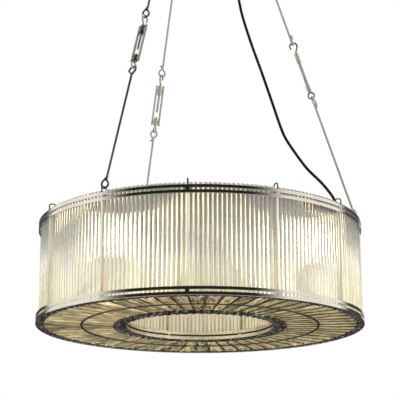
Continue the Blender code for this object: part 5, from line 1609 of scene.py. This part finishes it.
class BuildHanger(bpy.types.Operator):
    """Builds the plate that gathers the strands, with its eye bolt"""

    bl_idname = "pendant.build_hanger"
    bl_label = "Build Hanger"

    def execute(self, context):
        self.add_plate()
        self.add_eye_bolt()
        return {"FINISHED"}

    def add_plate(self):
        """A round plate with a hole for each strand."""
        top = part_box("hanger_plate")[1].z
        bottom = top - HANGER_THICKNESS
        profile = rounded_rectangle(HANGER_BORE, HANGER_RADIUS, bottom, top, HANGER_CORNER)
        plate = link_object("hanger blank", turned_mesh("hanger blank", profile, HANGER_STEPS))
        holes = bmesh.new()
        for bearing in spaced(3, FIRST_BEARING):
            hole = Matrix.Translation(around(HANGER_HOLE_CIRCLE, bearing, (top + bottom) / 2))
            add_bar(holes, HANGER_HOLE_SIDES, HANGER_HOLE_RADIUS, HANGER_THICKNESS * 3, hole)
        drill = link_object("hanger drill", finish_mesh("hanger drill", holes))
        cut = plate.modifiers.new("holes", "BOOLEAN")
        cut.object = drill
        cut.solver = "EXACT"
        drilled = evaluated_mesh(plate)
        bpy.data.objects.remove(drill, do_unlink=True)
        drilled.shade_smooth()
        drilled.set_sharp_from_angle(angle=SHARP_EDGE)
        add_piece("round_hanger_plate", drilled, "polished nickel", ["hanger_plate"])

    def add_eye_bolt(self):
        low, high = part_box("hanger_eye")
        centre = high.z - HANGER_EYE_RADIUS - HANGER_EYE_WIRE / 2
        neck = centre - HANGER_EYE_RADIUS - HANGER_EYE_NECK - HANGER_EYE_ROOT
        start = HANGER_EYE_OPENING - math.pi / 2
        end = math.pi * 1.5 - HANGER_EYE_OPENING
        path = [(0, 0, low.z + HANGER_EYE_FOOT, SHAFT_SHARE), (0, 0, neck, SHAFT_SHARE)]
        loop = arc(HANGER_EYE_RADIUS, start, end, HANGER_EYE_STEPS, (0, centre))
        path += [(across, 0, up, 1) for across, up in loop]
        eye = wire_mesh("eye", [path], HANGER_EYE_WIRE, THICK_WIRE_SIDES, FITTING)
        model = bmesh.new()
        middle = Matrix.Translation((0, 0, low.z + HANGER_HEAD_HEIGHT / 2))
        add_bar(model, HEX_SIDES, HANGER_HEAD_RADIUS, HANGER_HEAD_HEIGHT, FITTING @ middle)
        bevel_all(model, HANGER_HEAD_CORNER)
        mesh = join_meshes("hanger_eye_bolt", [eye, finish_mesh("head", model)])
        add_piece("hanger_eye_bolt", mesh, "bright steel", ["hanger_eye"])


# Stage


def studio_world(world):
    """White to the camera and through glass, with a dark room in front for metal to reflect.

    Behind the light and over the floor, reflections show the pale backdrop.
    """
    world.use_nodes = True
    tree = world.node_tree
    tree.nodes.clear()
    rays = add_node(tree, "LightPath", {}).outputs
    heading = add_node(tree, "TexCoord", {}).outputs["Generated"]
    ahead = {0: heading, 1: Vector(ROOM_FRONT).normalized()}
    front = add_node(tree, "VectorMath", ahead, operation="DOT_PRODUCT").outputs["Value"]
    height = add_node(tree, "SeparateXYZ", {"Vector": heading}).outputs["Z"]
    stops = [(position, (shade, shade, shade)) for position, shade in ROOM_SHADES]
    room = ramp(tree, ranged(tree, front, 0, 1, -1, 1), stops)
    over_floor = ranged(tree, height, 0, 1, *BACKDROP_FOOT)
    inputs = {0: over_floor, 1: ranged(tree, front, 0, 1, *BACKDROP_SIDES)}
    behind = add_node(tree, "Math", inputs, operation="MULTIPLY").outputs["Value"]
    inputs = {"Factor": behind, "A": room, "B": WHITE}
    backdrop = add_node(tree, "Mix", inputs, data_type="RGBA").outputs["Result"]

    def background(colour, strength):
        inputs = {"Color": colour, "Strength": strength}
        return add_node(tree, "Background", inputs).outputs["Background"]

    white = background(WHITE, 1.0)
    mirrored = background(backdrop, 1.0)
    lit = mixed_shaders(tree, rays["Is Glossy Ray"], background(WHITE, ROOM_LIGHT), mirrored)
    through = mixed_shaders(tree, rays["Is Transmission Ray"], lit, white)
    seen = mixed_shaders(tree, rays["Is Camera Ray"], through, white)
    add_node(tree, "OutputWorld", {"Surface": seen})


def add_soft_box(name, place, size, power):
    """A rectangular light that faces the drum and isn't seen in reflections."""
    data = bpy.data.lights.new(name, "AREA")
    data.shape = "RECTANGLE"
    data.size, data.size_y = size
    data.energy = power
    light = link_object(name, data)
    light.location = place
    light.visible_glossy = False
    light.rotation_mode = "QUATERNION"
    aim = Vector((0, 0, DRUM_BOTTOM + LIGHT_TARGET_HEIGHT)) - Vector(place)
    light.rotation_quaternion = aim.to_track_quat("-Z", "Y")


class BuildStage(bpy.types.Operator):
    """Adds the floor, the studio light and the camera"""

    bl_idname = "pendant.build_stage"
    bl_label = "Build Stage"

    def execute(self, context):
        scene = context.scene
        scene.view_settings.view_transform = "Standard"
        scene.world = bpy.data.worlds.new("studio")
        studio_world(scene.world)
        self.add_floor()
        for name, values in SOFT_BOXES.items():
            add_soft_box(name, *values)
        self.add_camera(scene)
        return {"FINISHED"}

    def add_floor(self):
        model = bmesh.new()
        place = Matrix.Translation((0, 0, DRUM_BOTTOM - FLOOR_BELOW))
        bmesh.ops.create_circle(
            model, cap_ends=True, segments=FLOOR_SIDES, radius=FLOOR_RADIUS, matrix=place
        )
        mesh = bpy.data.meshes.new("floor")
        model.to_mesh(mesh)
        model.free()
        mesh.materials.append(finish_named("pale floor"))
        floor = link_object("floor", mesh)
        floor.visible_glossy = False

    def add_camera(self, scene):
        data = bpy.data.cameras.new("camera")
        data.lens = CAMERA_LENS
        data.sensor_width = SENSOR_WIDTH
        data.clip_start, data.clip_end = CAMERA_CLIP
        camera = link_object("camera", data)
        camera.location = (0, -CAMERA_DISTANCE, DRUM_BOTTOM - CAMERA_BELOW)
        camera.rotation_euler = (math.pi / 2 + CAMERA_TILT, 0, 0)
        scene.camera = camera


# Panel and running


BUILDERS = (
    BuildStage,
    BuildWiring,
    BuildBands,
    BuildPosts,
    BuildRods,
    BuildPlates,
    BuildUndersideFrame,
    BuildLampFrame,
    BuildLamps,
    BuildStrands,
    BuildCeilingFitting,
    BuildHanger,
)


class PendantPanel(bpy.types.Panel):
    """Sizes, colours and build steps of the pendant light"""

    bl_idname = "VIEW3D_PT_pendant"
    bl_label = "Drum Pendant Light"
    bl_space_type = "VIEW_3D"
    bl_region_type = "UI"
    bl_category = "Pendant"

    def draw(self, context):
        for group in (context.scene.pendant_sizes, context.scene.pendant_colours):
            for name in group.__annotations__:
                self.layout.prop(group, name)
        for builder in BUILDERS:
            self.layout.operator(builder.bl_idname)


CLASSES = (PendantSizes, PendantColours, *BUILDERS, PendantPanel)


def register():
    for cls in CLASSES:
        bpy.utils.register_class(cls)
    bpy.types.Scene.pendant_sizes = PointerProperty(type=PendantSizes)
    bpy.types.Scene.pendant_colours = PointerProperty(type=PendantColours)


def unregister():
    del bpy.types.Scene.pendant_sizes
    del bpy.types.Scene.pendant_colours
    for cls in reversed(CLASSES):
        bpy.utils.unregister_class(cls)


def main():
    register()
    bpy.ops.pendant.build_stage()
    bpy.ops.pendant.build_wiring()
    bpy.ops.pendant.build_bands()
    bpy.ops.pendant.build_posts()
    bpy.ops.pendant.build_rods()
    bpy.ops.pendant.build_plates()
    bpy.ops.pendant.build_underside_frame()
    bpy.ops.pendant.build_lamp_frame()
    bpy.ops.pendant.build_lamps()
    bpy.ops.pendant.build_strands()
    bpy.ops.pendant.build_ceiling_fitting()
    bpy.ops.pendant.build_hanger()


if __name__ == "__main__":
    main()
